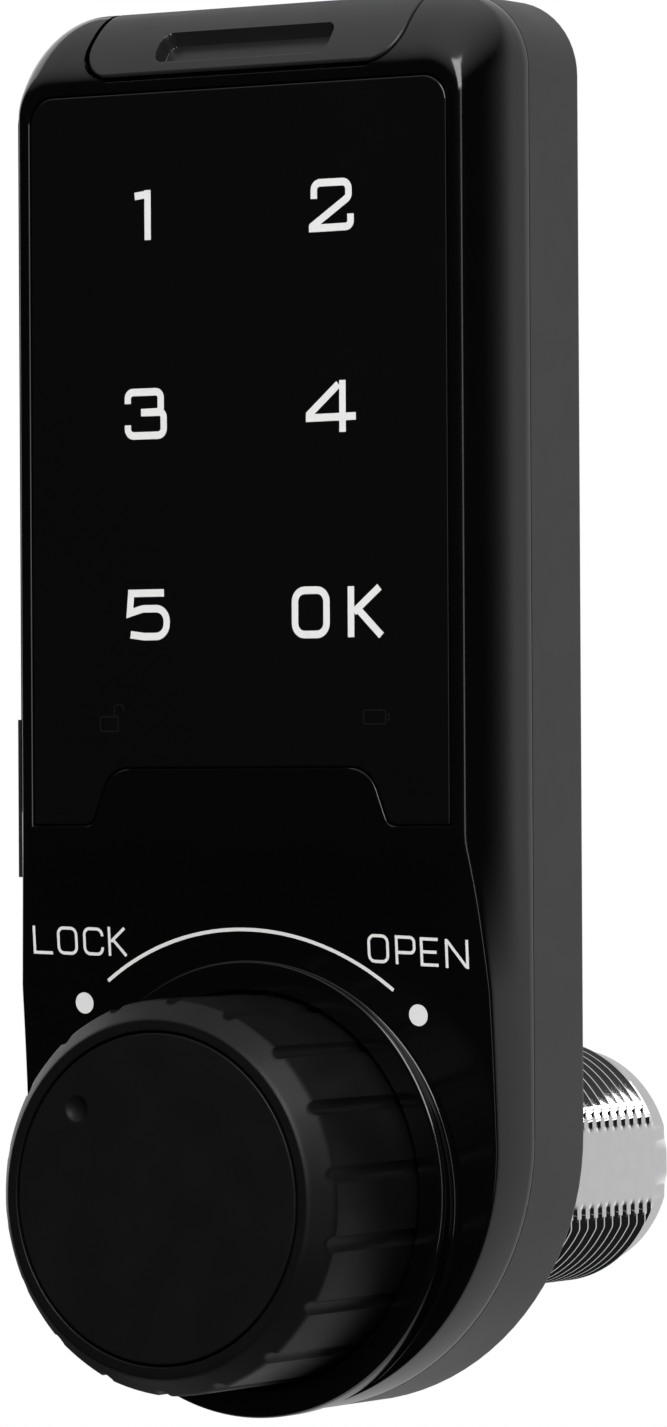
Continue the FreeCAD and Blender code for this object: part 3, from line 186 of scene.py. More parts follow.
class FinishColours(bpy.types.PropertyGroup):
    cover: shade("Cover", (0.0010, 0.0010, 0.0011), "Gloss black of the cover")
    panel: shade("Panel", (0.0021, 0.0021, 0.0022), "Gloss black of the keypad")
    base: shade("Base", (0.0265, 0.0265, 0.027), "Satin black of the base")
    door: shade("Door", (0.010, 0.010, 0.0103), "Satin black of the battery door")
    grip: shade("Knob", (0.0031, 0.0031, 0.0032), "Satin black of the knob")
    cap: shade("Disc", (0.0030, 0.0030, 0.0031), "Matt black of the knob's disc")
    print: shade("Print", (0.66, 0.66, 0.655), "Light grey of the print")
    ghost: shade("Faint signs", (0.0048, 0.0048, 0.0048), "Unlit signs behind the panel")
    chrome: shade("Chrome", (0.86, 0.86, 0.87), "Plating of the barrel")
    steel: shade("Steel", (0.55, 0.55, 0.55), "Zinc plated steel")
    rubber: shade("Rubber", (0.012, 0.012, 0.012), "Flap over the port")


class StudioSettings(bpy.types.PropertyGroup):
    lens: FloatProperty(name="Lens", description="Focal length in millimetres", default=185.1, min=1.0)
    heading: turn("Heading", 32.21, "Direction of view, counted from +Y")
    pitch: turn("Pitch", -0.371, "Height of the camera's place, as an angle above the horizon")
    roll: turn("Roll", -0.32, "Turn of the picture")
    shift: FloatProperty(name="Shift", description="Sideways shift of the picture, as a share of its height",
                         default=-0.0010, precision=4)
    eye: FloatVectorProperty(name="Eye", description="Place of the camera", size=3, subtype="TRANSLATION",
                             default=(295.1 * MM, -470.0 * MM, 31.7 * MM))
    floor: length("Floor", -60.0 * MM, "Height of the floor")


# Surfaces

MERGE = 2e-6                  # points nearer than this become one
SLIVER = 1e-7                 # edges shorter than this are taken out
GUARD = 0.08 * MM             # width of the flat strip beside a rounded edge, which keeps the face flat
SHARPEST = 0.35               # a stroke's mitre reaches no farther than half the width over this


class Surface:
    """Patches of points gathered into one mesh. A patch is an array [row, column, xyz]."""

    def __init__(self):
        self.points, self.faces, self.count = [], [], 0

    def patch(self, grid, wrap=False):
        """Quads between neighbouring rows and columns. A wrapped patch joins its last column to its first."""
        rows, columns = grid.shape[:2]
        index = np.arange(rows * columns).reshape(rows, columns) + self.count
        if wrap:
            index = np.concatenate([index, index[:, :1]], axis=1)
        quads = np.stack([index[:-1, :-1], index[:-1, 1:], index[1:, 1:], index[1:, :-1]], axis=-1)
        self.points.append(grid.reshape(-1, 3))
        self.faces += quads.reshape(-1, 4).tolist()
        self.count += rows * columns
        return self

    def halves(self, grid):
        """The patch and its mirror image across the middle of the case."""
        return self.patch(grid).patch(grid * np.array([-1.0, 1.0, 1.0]))

    def lid(self, loop):
        """One flat face over a closed loop of points."""
        self.points.append(loop)
        self.faces.append(list(range(self.count, self.count + len(loop))))
        self.count += len(loop)
        return self

    def mesh(self, name, outward, flat=False):
        """The merged mesh. Its face that lies farthest along outward looks that way, and the rest follow.

        In a flat print every face is turned to look that way by itself.
        """
        mesh = bpy.data.meshes.new(name)
        mesh.from_pydata(np.concatenate(self.points).tolist(), [], self.faces)
        work = bmesh.new()
        work.from_mesh(mesh)
        bmesh.ops.remove_doubles(work, verts=work.verts, dist=MERGE)
        bmesh.ops.dissolve_degenerate(work, dist=SLIVER, edges=work.edges)
        bmesh.ops.recalc_face_normals(work, faces=work.faces)
        way = Vector(outward)
        last = max(work.faces, key=lambda f: f.calc_center_median().dot(way))
        if flat:
            bmesh.ops.reverse_faces(work, faces=[f for f in work.faces if f.normal.dot(way) < 0])
        elif last.normal.dot(way) < 0:
            bmesh.ops.reverse_faces(work, faces=work.faces)
        work.to_mesh(mesh)
        work.free()
        return mesh


def stack(x, y, z):
    """Points from x, y and z, each an array or a single number."""
    return np.stack(np.broadcast_arrays(x, y, z), axis=-1).astype(float)


def at_place(path, y):
    """Plane points (x, z) set at a place along Y."""
    return stack(path[..., 0], y, path[..., 1])


def around(angle):
    """Unit vectors (x, z) at the angles."""
    return np.stack([np.cos(angle), np.sin(angle)], axis=-1)


def turned(radius, angle, y):
    """Points at a radius and an angle about the knob's axis, at a place along Y."""
    return stack(radius * np.cos(angle), y, radius * np.sin(angle))


def bend(start, corner, end, count):
    """Rounded edge: the quadratic curve that leaves start towards the corner and reaches end from it."""
    t = np.linspace(0, 1, count).reshape((-1,) + (1,) * np.ndim(start))
    return (1 - t) ** 2 * start + 2 * t * (1 - t) * corner + t ** 2 * end


def between(start, end, shares):
    """Rows from start to end at the given shares of the way."""
    t = np.asarray(shares, float).reshape((-1,) + (1,) * np.ndim(start))
    return (1 - t) * start + t * end


def rounded_path(corners, closed=False, steps=7):
    """Plane path through corners (x, z, radius): straight runs joined by round bends of that radius."""
    points = np.array([c[:2] for c in corners], float)
    path = []
    for k, (x, z, radius) in enumerate(corners):
        here = points[k]
        inner = closed or 0 < k < len(corners) - 1
        if radius <= 0 or not inner:
            path.append(here[None])
            continue
        back = points[k - 1] - here
        ahead = points[(k + 1) % len(points)] - here
        back /= np.linalg.norm(back)
        ahead /= np.linalg.norm(ahead)
        half = math.acos(np.clip(back @ ahead, -1, 1)) / 2
        reach = radius / math.tan(half)
        middle = here + (back + ahead) / np.linalg.norm(back + ahead) * radius / math.sin(half)
        first = here + back * reach - middle
        last = here + ahead * reach - middle
        t = np.linspace(0, 1, steps)[:, None]
        spin = math.acos(np.clip(first @ last / radius ** 2, -1, 1))
        path.append(middle + (np.sin((1 - t) * spin) * first + np.sin(t * spin) * last) / math.sin(spin))
    return np.concatenate(path)


def ribbon(path, width, closed=False):
    """Two edges of a flat stroke along a plane path: each point moved sideways by half the width, mitred.

    A closed stroke ends with its first points again.
    """
    ahead = np.roll(path, -1, axis=0) - path
    if not closed:
        ahead[-1] = ahead[-2]
    ahead /= np.linalg.norm(ahead, axis=1)[:, None]
    behind = np.roll(ahead, 1, axis=0)
    if not closed:
        behind[0] = ahead[0]
    side = np.stack([-(ahead + behind)[:, 1], (ahead + behind)[:, 0]], axis=1)
    side /= np.linalg.norm(side, axis=1)[:, None]
    across = np.stack([-ahead[:, 1], ahead[:, 0]], axis=1)
    side *= (width / 2 / np.clip((side * across).sum(1), SHARPEST, 1))[:, None]
    edges = np.stack([path + side, path - side])
    return np.concatenate([edges, edges[:, :1]], axis=1) if closed else edges


def place(name, mesh, material, body, stands_for=(), wall=0.0, crease=32.0):
    """Links a piece and hangs it on its body.

    Gives it a wall if asked and shades it smooth up to the crease angle, in degrees.
    """
    piece = bpy.data.objects.new(name, mesh)
    bpy.context.scene.collection.objects.link(piece)
    if wall:
        solid = piece.modifiers.new("wall", "SOLIDIFY")
        solid.thickness = wall
        solid.offset = -1
        depsgraph = bpy.context.evaluated_depsgraph_get()
        walled = bpy.data.meshes.new_from_object(piece.evaluated_get(depsgraph))
        piece.modifiers.clear()
        piece.data = walled
    piece.data.polygons.foreach_set("use_smooth", [True] * len(piece.data.polygons))
    piece.data.set_sharp_from_angle(angle=math.radians(crease))
    piece.data.materials.clear()
    piece.data.materials.append(material)
    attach(piece, body)
    if stands_for:
        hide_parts(*stands_for)
    return piece


# Form of the case

FLAT_END = 26.4 * MM          # the keypad face is flat above this height
FACE_FOOT = -20 * MM          # the slope of the lower face is added up down to this height
SLOPE_HEIGHTS = (-20, 4, 12, 20, 25.2, 26.4)     # in millimetres
SLOPES = (0.05, 0.055, 0.085, 0.13, 0.21, 0.0)   # slope of the lower face at those heights
SEAM_EASE = 0.2 * MM          # rounding of the cover's edge at the seam
SEAT_EASE = 0.16 * MM         # rounding of the face's edges at the panel's seat, the door and the collar
MIDDLE = 12                   # points across the door's column, from the middle of the case
# Points along each stretch of the outline, from the door's column down to the middle of the lower end
COUNTS = {"top": 10, "corner": 22, "side": 40, "cheek": 34, "end": 76}


def face_depth(height):
    """Depth of the face at a height: 0 above FLAT_END, below it the slope added up on the way down."""
    z = np.linspace(FLAT_END, FACE_FOOT, 2400)
    slope = np.interp(z, np.array(SLOPE_HEIGHTS) * MM, SLOPES)
    depth = np.concatenate([[0.0], np.cumsum((slope[1:] + slope[:-1]) / 2 * (z[:-1] - z[1:]))])
    return np.interp(-np.asarray(height), -z, depth)


def leaning(depth, crown, crown_depth):
    """How far a flank leans in: the crown times the square of what is left of its depth."""
    return crown * np.clip(1 - depth / crown_depth, 0, 1) ** 2


def outward(stretch, along):
    """Direction (x, z) out of the case: up on the top, sideways on the flanks, turning on the round parts."""
    if stretch == "top":
        return 0.0, 1.0
    if stretch in ("side", "cheek"):
        return 1.0, 0.0
    angle = math.pi / 2 * (1 - along if stretch == "corner" else -along)
    return np.cos(angle), np.sin(angle)


def case_edge(stretch, along, depth, sizes, ridge=0.0):
    """(x, z) on the right half of the outline at a depth. along runs 0 to 1 over a stretch of it.

    Where the ridge lies deeper, the side leans in less and over less depth, counted from the ridge.
    """
    crown = np.maximum(sizes.side_crown - sizes.crown_loss * ridge, sizes.least_crown)
    side = sizes.half_width - leaning(depth - ridge, crown, sizes.side_depth - sizes.depth_loss * ridge)
    sunk = leaning(depth, sizes.top_crown, sizes.top_depth)
    top = sizes.top - sunk
    corner = sizes.corner - sizes.corner_tighten * sunk / sizes.top_crown
    across, up = outward(stretch, along)
    if stretch == "top":
        return (side - corner) * along, top + 0 * along
    if stretch == "corner":
        return side - corner + corner * across, top - corner + corner * up
    if stretch == "side":
        return side + 0 * along, (top - corner) * (1 - along) + FLAT_END * along
    if stretch == "cheek":
        return side + 0 * along, FLAT_END * (1 - along) + sizes.end_centre * along
    return side * across, sizes.end_centre + side * up


def ridge_depth(stretch, along, sizes):
    """Depth where flank and face meet: the face's depth at the height that the outline has there.

    The height hangs on the depth in turn, so the depth is worked out 25 times, by when it has settled.
    """
    depth = np.zeros_like(along)
    if stretch in ("cheek", "end"):
        for _ in range(25):
            depth = face_depth(case_edge(stretch, along, depth, sizes, depth)[1])
    return depth


def door_half(height, door, sizes, gap):
    """Half width of the door's column at a height: full above its round lower corners."""
    foot = sizes.top - sizes.top_crown - gap
    below = np.clip(foot + door.corner - height, 0, door.corner)
    return door.half_width + gap - door.corner + np.sqrt(door.corner ** 2 - below ** 2)


def flank(stretch, along, sizes, door):
    """Flank of one stretch from the seam over the ridge on to the face, [row, column, xyz].

    Rows run from the rounded rear edge forward, then round the ridge. The last row lies on the face, inside
    the outline by the edge rounding and the flat strip. The rounding is smaller beside the lower face.
    """
    rear = sizes.seam - sizes.front + 0 * along
    ridge = ridge_depth(stretch, along, sizes)
    ease = sizes.edge - sizes.edge_loss * ridge
    across, up = outward(stretch, along)

    def at(depth, inset=0.0):
        """Points of the outline at a depth, moved inwards by the inset."""
        x, z = case_edge(stretch, along, depth, sizes, ridge)
        return stack(x - inset * across, sizes.front + depth, z - inset * up)

    rows = [bend(at(rear, SEAM_EASE), at(rear), at(rear - SEAM_EASE), 4)]
    for share in 1 - np.linspace(0, 1, 16)[1:-1] ** 0.85:
        rows.append(at(ridge + ease + (rear - SEAM_EASE - ridge - ease) * share)[None])
    face, inner = at(ridge, ease), at(ridge, ease + GUARD)
    for line in (face, inner):
        line[:, 1] = sizes.front + face_depth(line[:, 2])
    rows += [bend(at(ridge + ease), at(ridge), face, 6), inner[None]]
    grid = np.concatenate(rows)
    if stretch == "top":
        start = door_half(grid[..., 2], door, sizes, door.gap)
        grid[..., 0] = start + (grid[..., 0].max(axis=1, keepdims=True) - start) * along
    return grid


def panel_outline(sizes, inset):
    """Right half of the panel's outline from the middle of its top down and round to the tab's middle.

    A rectangle with round upper corners, less the tab's trapezoid. Its first points answer those of the
    case's outline one to one, stretch by stretch.
    """
    side, top, bottom = sizes.half_width - inset, sizes.top - inset, sizes.bottom + inset
    middle = np.array([side - sizes.corner, top - sizes.corner])
    upper = between(np.array([0, top]), np.array([side - sizes.corner, top]),
                    np.linspace(0, 1, MIDDLE + COUNTS["top"] - 1))
    bent = middle + sizes.corner * around(np.linspace(math.pi / 2, 0, COUNTS["corner"])[1:])
    down = between(bent[-1], np.array([side, bottom]), np.linspace(0, 1, COUNTS["side"])[1:])
    tab_top = bottom + sizes.tab_height
    foot_corner = 0.9 * MM
    foot = rounded_path([
        (side, bottom, 0), (sizes.tab_bottom + inset, bottom, foot_corner),
        (sizes.tab_top + inset, tab_top, sizes.tab_corner), (0, tab_top, 0)], steps=10)
    run = between(foot[0], foot[1], np.linspace(0, 1, 9)[1:-1])
    last_run = between(foot[-2], foot[-1], np.linspace(0, 1, 14)[1:])
    return np.concatenate([upper, bent, down, run, foot[1:-1], last_run])


def collar_rows(angle, reach, sizes, knob):
    """Collar and its well at each angle round the knob, from the rounded foot on the face inwards.

    A profile of radius and depth, turned about the axis: foot, wall, front, bore, floor and hub hole. The
    foot starts at reach, or one hollow outside the wall. The hollow of the foot and the brow of the front
    shrink where the collar stands less far out of the face.
    """
    fillet, small = 0.3 * MM, SEAT_EASE
    wall, crown, bore = knob.collar, knob.collar_step, knob.collar_bore
    floor, hole = knob.floor, knob.hub_hole

    def at(radius, depth):
        """Points round the axis at a radius and a depth."""
        return turned(radius, angle, sizes.front + depth)

    base = face_depth(wall * np.sin(angle))
    rise = base - crown
    hollow = np.minimum(0.4 * MM, 0.4 * rise)
    brow = np.minimum(0.5 * MM, 0.5 * rise)
    start = np.minimum(wall + hollow, reach)
    foot = bend(at(start, face_depth(start * np.sin(angle))), at(wall, base), at(wall, base - hollow), 6)
    outer = bend(at(wall, crown + brow), at(wall, crown), at(wall - brow, crown), 7)
    return np.concatenate([
        foot, between(foot[-1], outer[0], [0.33, 0.66]), outer,
        bend(at(bore + small, crown), at(bore, crown), at(bore, crown + small), 5),
        bend(at(bore, floor - fillet), at(bore, floor), at(bore - fillet, floor), 4),
        bend(at(hole + small, floor), at(hole, floor), at(hole, floor + small), 3),
        at(hole, floor + WALL)[None]])


def cover_skin(sizes, keypad, knob, door):
    """Outer skin of the cover: flanks, keypad face with the panel's seat, hollow lower face and collar.

    Each part is a run of rows between two outlines that answer each other point by point.
    """
    skin = Surface()
    lines = {}
    front, small = sizes.front, SEAT_EASE
    for stretch, count in COUNTS.items():
        grid = flank(stretch, np.linspace(0, 1, count), sizes, door)
        skin.halves(grid)
        lines[stretch] = grid[-1]

    # Keypad face, from the ridge's inner line and the line above the slope to the panel's seat
    start = lines["top"][0]
    middle = between(start * np.array([0, 1, 1]), start, np.linspace(0, 1, MIDDLE))
    seat = panel_outline(keypad, 0.0)
    rest = seat[MIDDLE + COUNTS["top"] + COUNTS["corner"] + COUNTS["side"] - 3:, 0]
    widened = rest * lines["side"][-1, 0] / keypad.half_width
    beside_tab = keypad.tab_bottom + 1.2 * MM
    below = stack(np.where(rest > beside_tab, widened, rest), front, FLAT_END)
    outer = np.concatenate([middle, lines["top"][1:], lines["corner"][1:], lines["side"][1:], below])
    near, sunk = panel_outline(keypad, -small - GUARD), panel_outline(keypad, -small)
    inside = panel_outline(keypad, keypad.window / 2)
    deep = front + keypad.seat
    skin.halves(np.concatenate([
        outer[None], at_place(near, front)[None],
        bend(at_place(sunk, front), at_place(seat, front), at_place(seat, front + small), 4),
        at_place(seat, deep)[None], at_place(inside, deep)[None]]))

    # Edge of the face towards the door
    up, back, flank_end = np.array([0, 0, small]), np.array([0, small, 0]), np.array([0, 10 * small, 0])
    brink = middle + np.array([0, 0, GUARD])
    skin.halves(np.concatenate([middle[None], bend(brink, brink + up, brink + up + back, 4),
                                (brink + up + flank_end)[None]]))

    # Lower face, from the line above the slope and the ridge to the foot of the collar
    edge = np.concatenate([below[::-1], lines["cheek"], lines["end"][1:]])
    foot = collar_rows(np.arctan2(edge[:, 2], edge[:, 0]), np.hypot(edge[:, 0], edge[:, 2]), sizes, knob)
    face = between(edge, foot[0], np.append(np.linspace(0, 0.98, 16), 1.0))
    face[..., 1] = front + face_depth(face[..., 2])
    skin.halves(np.concatenate([face, foot[1:]]))
    return skin


def open_port(mesh, flap_box, gap):
    """Cuts the flap's pocket out of the left flank: splits the skin along its four edges and opens it."""
    pin = 0.6 * MM            # pins at the flap's ends, which stand past its leaf
    reach = 3 * MM            # how far the search for faces goes past the pocket
    low = Vector((-1, flap_box[0].y - gap, flap_box[0].z + pin - gap))
    high = Vector((flap_box[0].x + reach, flap_box[1].y + gap, flap_box[1].z - pin + gap))
    work = bmesh.new()
    work.from_mesh(mesh)

    def near():
        """Faces of the left flank round the pocket."""
        return [f for f in work.faces if f.calc_center_median().x < high.x
                and low.z - reach < f.calc_center_median().z < high.z + reach]

    for point, way in ((low, (0, 1, 0)), (high, (0, 1, 0)), (low, (0, 0, 1)), (high, (0, 0, 1))):
        faces = near()
        parts = list({v for f in faces for v in f.verts}) + list({e for f in faces for e in f.edges}) + faces
        bmesh.ops.bisect_plane(work, geom=parts, dist=SLIVER, plane_co=point, plane_no=way)
    inside = [f for f in near() if low.y < f.calc_center_median().y < high.y
              and low.z < f.calc_center_median().z < high.z]
    bmesh.ops.delete(work, geom=inside, context="FACES")
    work.to_mesh(mesh)
    work.free()


# Finishes

def feed(tree, target, inputs):
    """Fills a node's inputs: a socket is linked, any other value is set."""
    for key, value in inputs.items():
        if isinstance(value, bpy.types.NodeSocket):
            tree.links.new(value, target.inputs[key])
        else:
            target.inputs[key].default_value = value


def node(tree, kind, output, inputs=None, **settings):
    """Adds a shader node with its settings and inputs, and gives one of its outputs."""
    new = tree.nodes.new("ShaderNode" + kind)
    for key, value in settings.items():
        setattr(new, key, value)
    feed(tree, new, inputs or {})
    return new.outputs[output]


def new_finish(name):
    """Empty node material with its tree and object coordinates."""
    material = bpy.data.materials.new(name)
    material.use_nodes = True
    return material, material.node_tree, node(material.node_tree, "TexCoord", "Object")


def coat(material, inputs):
    """Fills the inputs of the material's shader."""
    feed(material.node_tree, material.node_tree.nodes["Principled BSDF"], inputs)
    return material


def noise(tree, source, scale, detail=2.0):
    """Cloudy pattern with the given number of features a metre."""
    return node(tree, "TexNoise", "Fac", {"Vector": source, "Scale": scale, "Detail": detail})


def ramp(tree, value, low, high, **settings):
    """Runs from 0 to 1 while the value goes from low to high."""
    return node(tree, "MapRange", "Result", {"Value": value, "From Min": low, "From Max": high}, **settings)


def spread(tree, value, low, high):
    """Turns a pattern's middle range into the range low to high."""
    return node(tree, "MapRange", "Result", {"Value": value, "From Min": 0.3, "From Max": 0.7,
                                             "To Min": low, "To Max": high})


def tint(tree, value, first, second):
    """Colour between two, by a pattern."""
    return node(tree, "Mix", "Result", {"Factor": value, "A": (*first, 1), "B": (*second, 1)},
                data_type="RGBA")


def blend(tree, value, first, second):
    """Number between two, by a value from 0 to 1."""
    return node(tree, "Mix", "Result", {"Factor": value, "A": first, "B": second}, data_type="FLOAT")


def maths(tree, operation, first, second):
    """One operation on two numbers."""
    return node(tree, "Math", 0, {0: first, 1: second}, operation=operation)


def relief(tree, height, strength, distance):
    """Bump from a height pattern."""
    return node(tree, "Bump", "Normal", {"Height": height, "Strength": strength, "Distance": distance})


def scaled(colour, share):
    """A colour made darker or brighter, up to 1."""
    return tuple(min(1.0, c * share) for c in colour)


def plastic(name, colour, rough, grain, strength, uneven=0.15, specular=0.5):
    """Moulded plastic: a fine grain as relief, cloudy roughness and a slight change of tone."""
    material, tree, here = new_finish(name)
    less, more = 1 - uneven, 1 + uneven
    return coat(material, {
        "Base Color": tint(tree, noise(tree, here, 90), scaled(colour, less), scaled(colour, more)),
        "Roughness": spread(tree, noise(tree, here, 260, 4), rough * less, rough * more),
        "Specular IOR Level": specular,
        "Normal": relief(tree, noise(tree, here, grain, 3), strength, 0.02 * MM)})


def metal(name, colour, rough, grain, strength, stretch=(1, 1, 1)):
    """Plated or turned metal: cloudy roughness and fine marks, longer where the stretch is under 1."""
    material, tree, here = new_finish(name)
    marks = noise(tree, node(tree, "Mapping", "Vector", {"Vector": here, "Scale": stretch}), grain, 4)
    return coat(material, {
        "Metallic": 1.0,
        "Base Color": tint(tree, marks, scaled(colour, 0.93), scaled(colour, 1.04)),
        "Roughness": spread(tree, noise(tree, here, 300, 3), rough * 0.7, rough * 1.3),
        "Normal": relief(tree, marks, strength, 0.01 * MM)})


def printing(name, colour, rough):
    """Screen print: even colour with a very fine mottle."""
    material, tree, here = new_finish(name)
    mottle = noise(tree, here, 5200, 2)
    return coat(material, {"Base Color": tint(tree, mottle, scaled(colour, 0.94), scaled(colour, 1.05)),
                           "Roughness": rough})


def banded(name, first, second, rough, borders):
    """Printed sleeve of a cell: a second colour above the middle of the borders, over a thin pale line."""
    material, tree, here = new_finish(name)
    height = ramp(tree, node(tree, "SeparateXYZ", "Z", {"Vector": here}), *borders)
    colour = node(tree, "ValToRGB", "Color", {"Fac": height})
    bands = colour.node.color_ramp
    bands.interpolation = "CONSTANT"
    bands.elements[0].color = (*first, 1)
    bands.elements[1].position = 0.5
    bands.elements[1].color = (0.7, 0.7, 0.68, 1)
    bands.elements.new(0.52).color = (*second, 1)
    return coat(material, {"Base Color": colour, "Roughness": rough})


def circuit(name):
    """Lacquered board: tracks as a fine brick pattern under green lacquer."""
    material, tree, here = new_finish(name)
    upright = node(tree, "Mapping", "Vector", {"Vector": here, "Rotation": (math.pi / 2, 0, 0)})
    tracks = node(tree, "TexBrick", "Color", {
        "Vector": upright, "Scale": 300, "Mortar Size": 0.03, "Color1": (0.012, 0.075, 0.03, 1),
        "Color2": (0.015, 0.09, 0.04, 1), "Mortar": (0.03, 0.16, 0.07, 1)})
    return coat(material, {"Base Color": tracks, "Roughness": 0.25})


def wound(name):
    """Copper winding: fine turns up the coil."""
    material, tree, here = new_finish(name)
    turns = node(tree, "TexWave", "Fac", {"Vector": here, "Scale": 900}, bands_direction="Z")
    return coat(material, {
        "Base Color": tint(tree, turns, (0.30, 0.10, 0.035), (0.62, 0.27, 0.12)), "Metallic": 1.0,
        "Roughness": 0.35, "Normal": relief(tree, turns, 0.6, 0.05 * MM)})


def dress_nodes(material, *names):
    """Gives carried-over nodes of the frame their finish."""
    for name in names:
        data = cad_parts[name].data
        data.materials.clear()
        data.materials.append(material)


# Print

ROUND = 0.30                  # corner radius of the round letters, in shares of their smaller side
# Strokes of the signs, each through corners (x, z, radius) in shares of the sign's box
GLYPHS = {
    "1": [[(1, -0.088, 0), (1, 1.088, 0)], [(-0.32, 0.95, 0), (1.0, 0.99, 0)]],
    "2": [[(0.05, 0.65, 0), (0.05, 1, 0.16), (0.95, 1, 0.16), (0.95, 0.66, 0.14), (-0.02, 0.03, 0)],
          [(-0.08, 0, 0), (1, 0.01, 0.13), (1, 0.29, 0)]],
    "3": [[(0, 0.74, 0), (0, 1, 0.14), (0.92, 1, 0.14), (0.92, 0.54, 0.1), (0.37, 0.53, 0)],
          [(0.37, 0.53, 0), (1, 0.53, 0.12), (1, 0, 0.16), (0, 0, 0.16), (0, 0.25, 0)]],
    "4": [[(0.77, -0.086, 0), (0.77, 1.086, 0)], [(0.68, 1, 0), (-0.03, 0.3, 0)],
          [(-0.074, 0.25, 0), (1.074, 0.265, 0)]],
    "5": [[(0.93, 1, 0), (0.04, 1, 0), (0.0, 0.545, 0), (0.35, 0.64, 0.5), (1, 0.64, 0.29), (1, 0, 0.29),
           (0.4, 0, 0.3), (0.02, 0.05, 0)]],
    "O": [[(0, 0, ROUND), (1, 0, ROUND), (1, 1, ROUND), (0, 1, ROUND)]],
    "C": [[(1, 0.72, 0), (1, 1, ROUND), (0, 1, ROUND), (0, 0, ROUND), (1, 0, ROUND), (1, 0.28, 0)]],
    "K": [[(0, -0.075, 0), (0, 1.075, 0)], [(0.97, 1.05, 0), (0.1, 0.49, 0)],
          [(0.22, 0.57, 0), (1.03, -0.05, 0)]],
    "L": [[(0, 1.06, 0), (0, 0, 0), (1.06, 0, 0)]],
    "P": [[(0, -0.06, 0), (0, 1, 0), (1, 1, 0.24), (1, 0.4, 0.24), (0, 0.4, 0)]],
    "E": [[(1.06, 1, 0), (0, 1, 0), (0, 0, 0), (1.06, 0, 0)], [(0, 0.5, 0), (0.96, 0.5, 0)]],
    "N": [[(0, -0.06, 0), (0, 1.06, 0)], [(0.03, 1, 0), (0.95, 0, 0)], [(1, -0.06, 0), (1, 1.06, 0)]],
}
# Keypad signs: left, right, lower and upper edge in millimetres
KEYS = (("1", -8.87, -7.44, 70.58, 74.31), ("2", 6.50, 10.40, 70.53, 74.42),
        ("3", -9.86, -6.10, 55.74, 59.54), ("4", 6.15, 10.48, 55.80, 59.61),
        ("5", -9.78, -5.93, 40.76, 44.56), ("O", 4.83, 8.13, 40.72, 44.53), ("K", 9.69, 12.79, 40.72, 44.52))
# Letters of the two words: left, right and lower edge in millimetres
LETTERS = (("L", -19.24, -17.47, 17.28), ("O", -17.05, -15.20, 17.25), ("C", -14.69, -12.85, 17.21),
           ("K", -12.43, -10.77, 17.21), ("O", 10.45, 12.29, 16.89), ("P", 12.83, 14.57, 16.80),
           ("E", 14.96, 16.52, 16.68), ("N", 17.09, 19.07, 16.56))
FALL = 0.03                   # tilt of the words' letters
ARC_CENTRE = (-0.39 * MM, -1.78 * MM)
ARC_ENDS = (125.7, 52.4)      # directions of the arc's ends from its centre, in degrees
DOTS = ((-14.93, 13.62), (14.47, 13.10))         # places of the two dots in millimetres
# Open padlock and battery: corners (x, z, radius) in millimetres, and whether the outline closes
FAINT_SIGNS = (
    ([(-12.2, 34.0, 0.15), (-10.6, 34.0, 0.15), (-10.6, 35.1, 0.15), (-12.2, 35.1, 0.15)], True),
    ([(-10.95, 35.1, 0), (-10.95, 36.0, 0.35), (-10.1, 36.0, 0.35), (-10.1, 35.5, 0)], False),
    ([(11.0, 34.4, 0.1), (12.9, 34.4, 0.1), (12.9, 35.4, 0.1), (11.0, 35.4, 0.1)], True),
    ([(13.0, 34.7, 0), (13.2, 34.7, 0), (13.2, 35.1, 0), (13.0, 35.1, 0)], False),
)
FAINT_LINE = 0.13 * MM        # width of their lines


def glyph_strokes(sign, low, high, stroke):
    """Strokes of a sign in the box low to high, as plane ribbons [side, point, xz]."""
    low, high = np.array(low) + stroke / 2, np.array(high) - stroke / 2
    size = high - low
    strokes = []
    for corners in GLYPHS[sign]:
        closed = len(corners) == 4 and corners[0][2] > 0
        spots = [(low[0] + u * size[0], low[1] + v * size[1], r * min(size)) for u, v, r in corners]
        strokes.append(ribbon(rounded_path(spots, closed), stroke, closed))
    return strokes


def faint_strokes():
    """The unlit signs, drawn as thin outlines."""
    strokes = []
    for corners, closed in FAINT_SIGNS:
        path = rounded_path([(x * MM, z * MM, r * MM) for x, z, r in corners], closed)
        strokes.append(ribbon(path, FAINT_LINE, closed))
    return strokes


def lay_print(surface, strokes, depth_of, front, lift):
    """Adds strokes as thin raised bands on the face: each stroke a hair higher than the one before."""
    for k, stroke in enumerate(strokes):
        surface.patch(at_place(stroke, front + depth_of(stroke[..., 1]) - lift * (1 + 0.06 * k)))


def flat_depth(height):
    """Depth of the keypad face, which is flat."""
    return 0.0 * height


def dot_stroke(centre, radius):
    """A filled dot as two rows: its edge and its middle."""
    ring = around(np.linspace(0, 2 * math.pi, 40))
    return np.stack([centre + ring * radius, centre + ring * 0.0])


# Operators, one for each piece or group of pieces

class MakeCover(bpy.types.Operator):
    """Crowned gloss cover with its collar, the panel's seat and the port's pocket"""
    bl_idname = "locker_lock.make_cover"
    bl_label = "Cover"

    def execute(self, context):
        scene = context.scene
        skin = cover_skin(scene.lock_case, scene.lock_keypad, scene.lock_knob, scene.lock_door)
        mesh = skin.mesh("cover_shell", (1, 0, 0))
        open_port(mesh, FLAP, 0.15 * MM)
        gloss = plastic("cover_gloss_black", scene.lock_colours.cover, rough=0.14, grain=1400,
                        strength=0.012, uneven=0.12)
        place("cover_shell", mesh, gloss, "case", ["front_cover"], wall=scene.lock_case.wall)
        return {"FINISHED"}


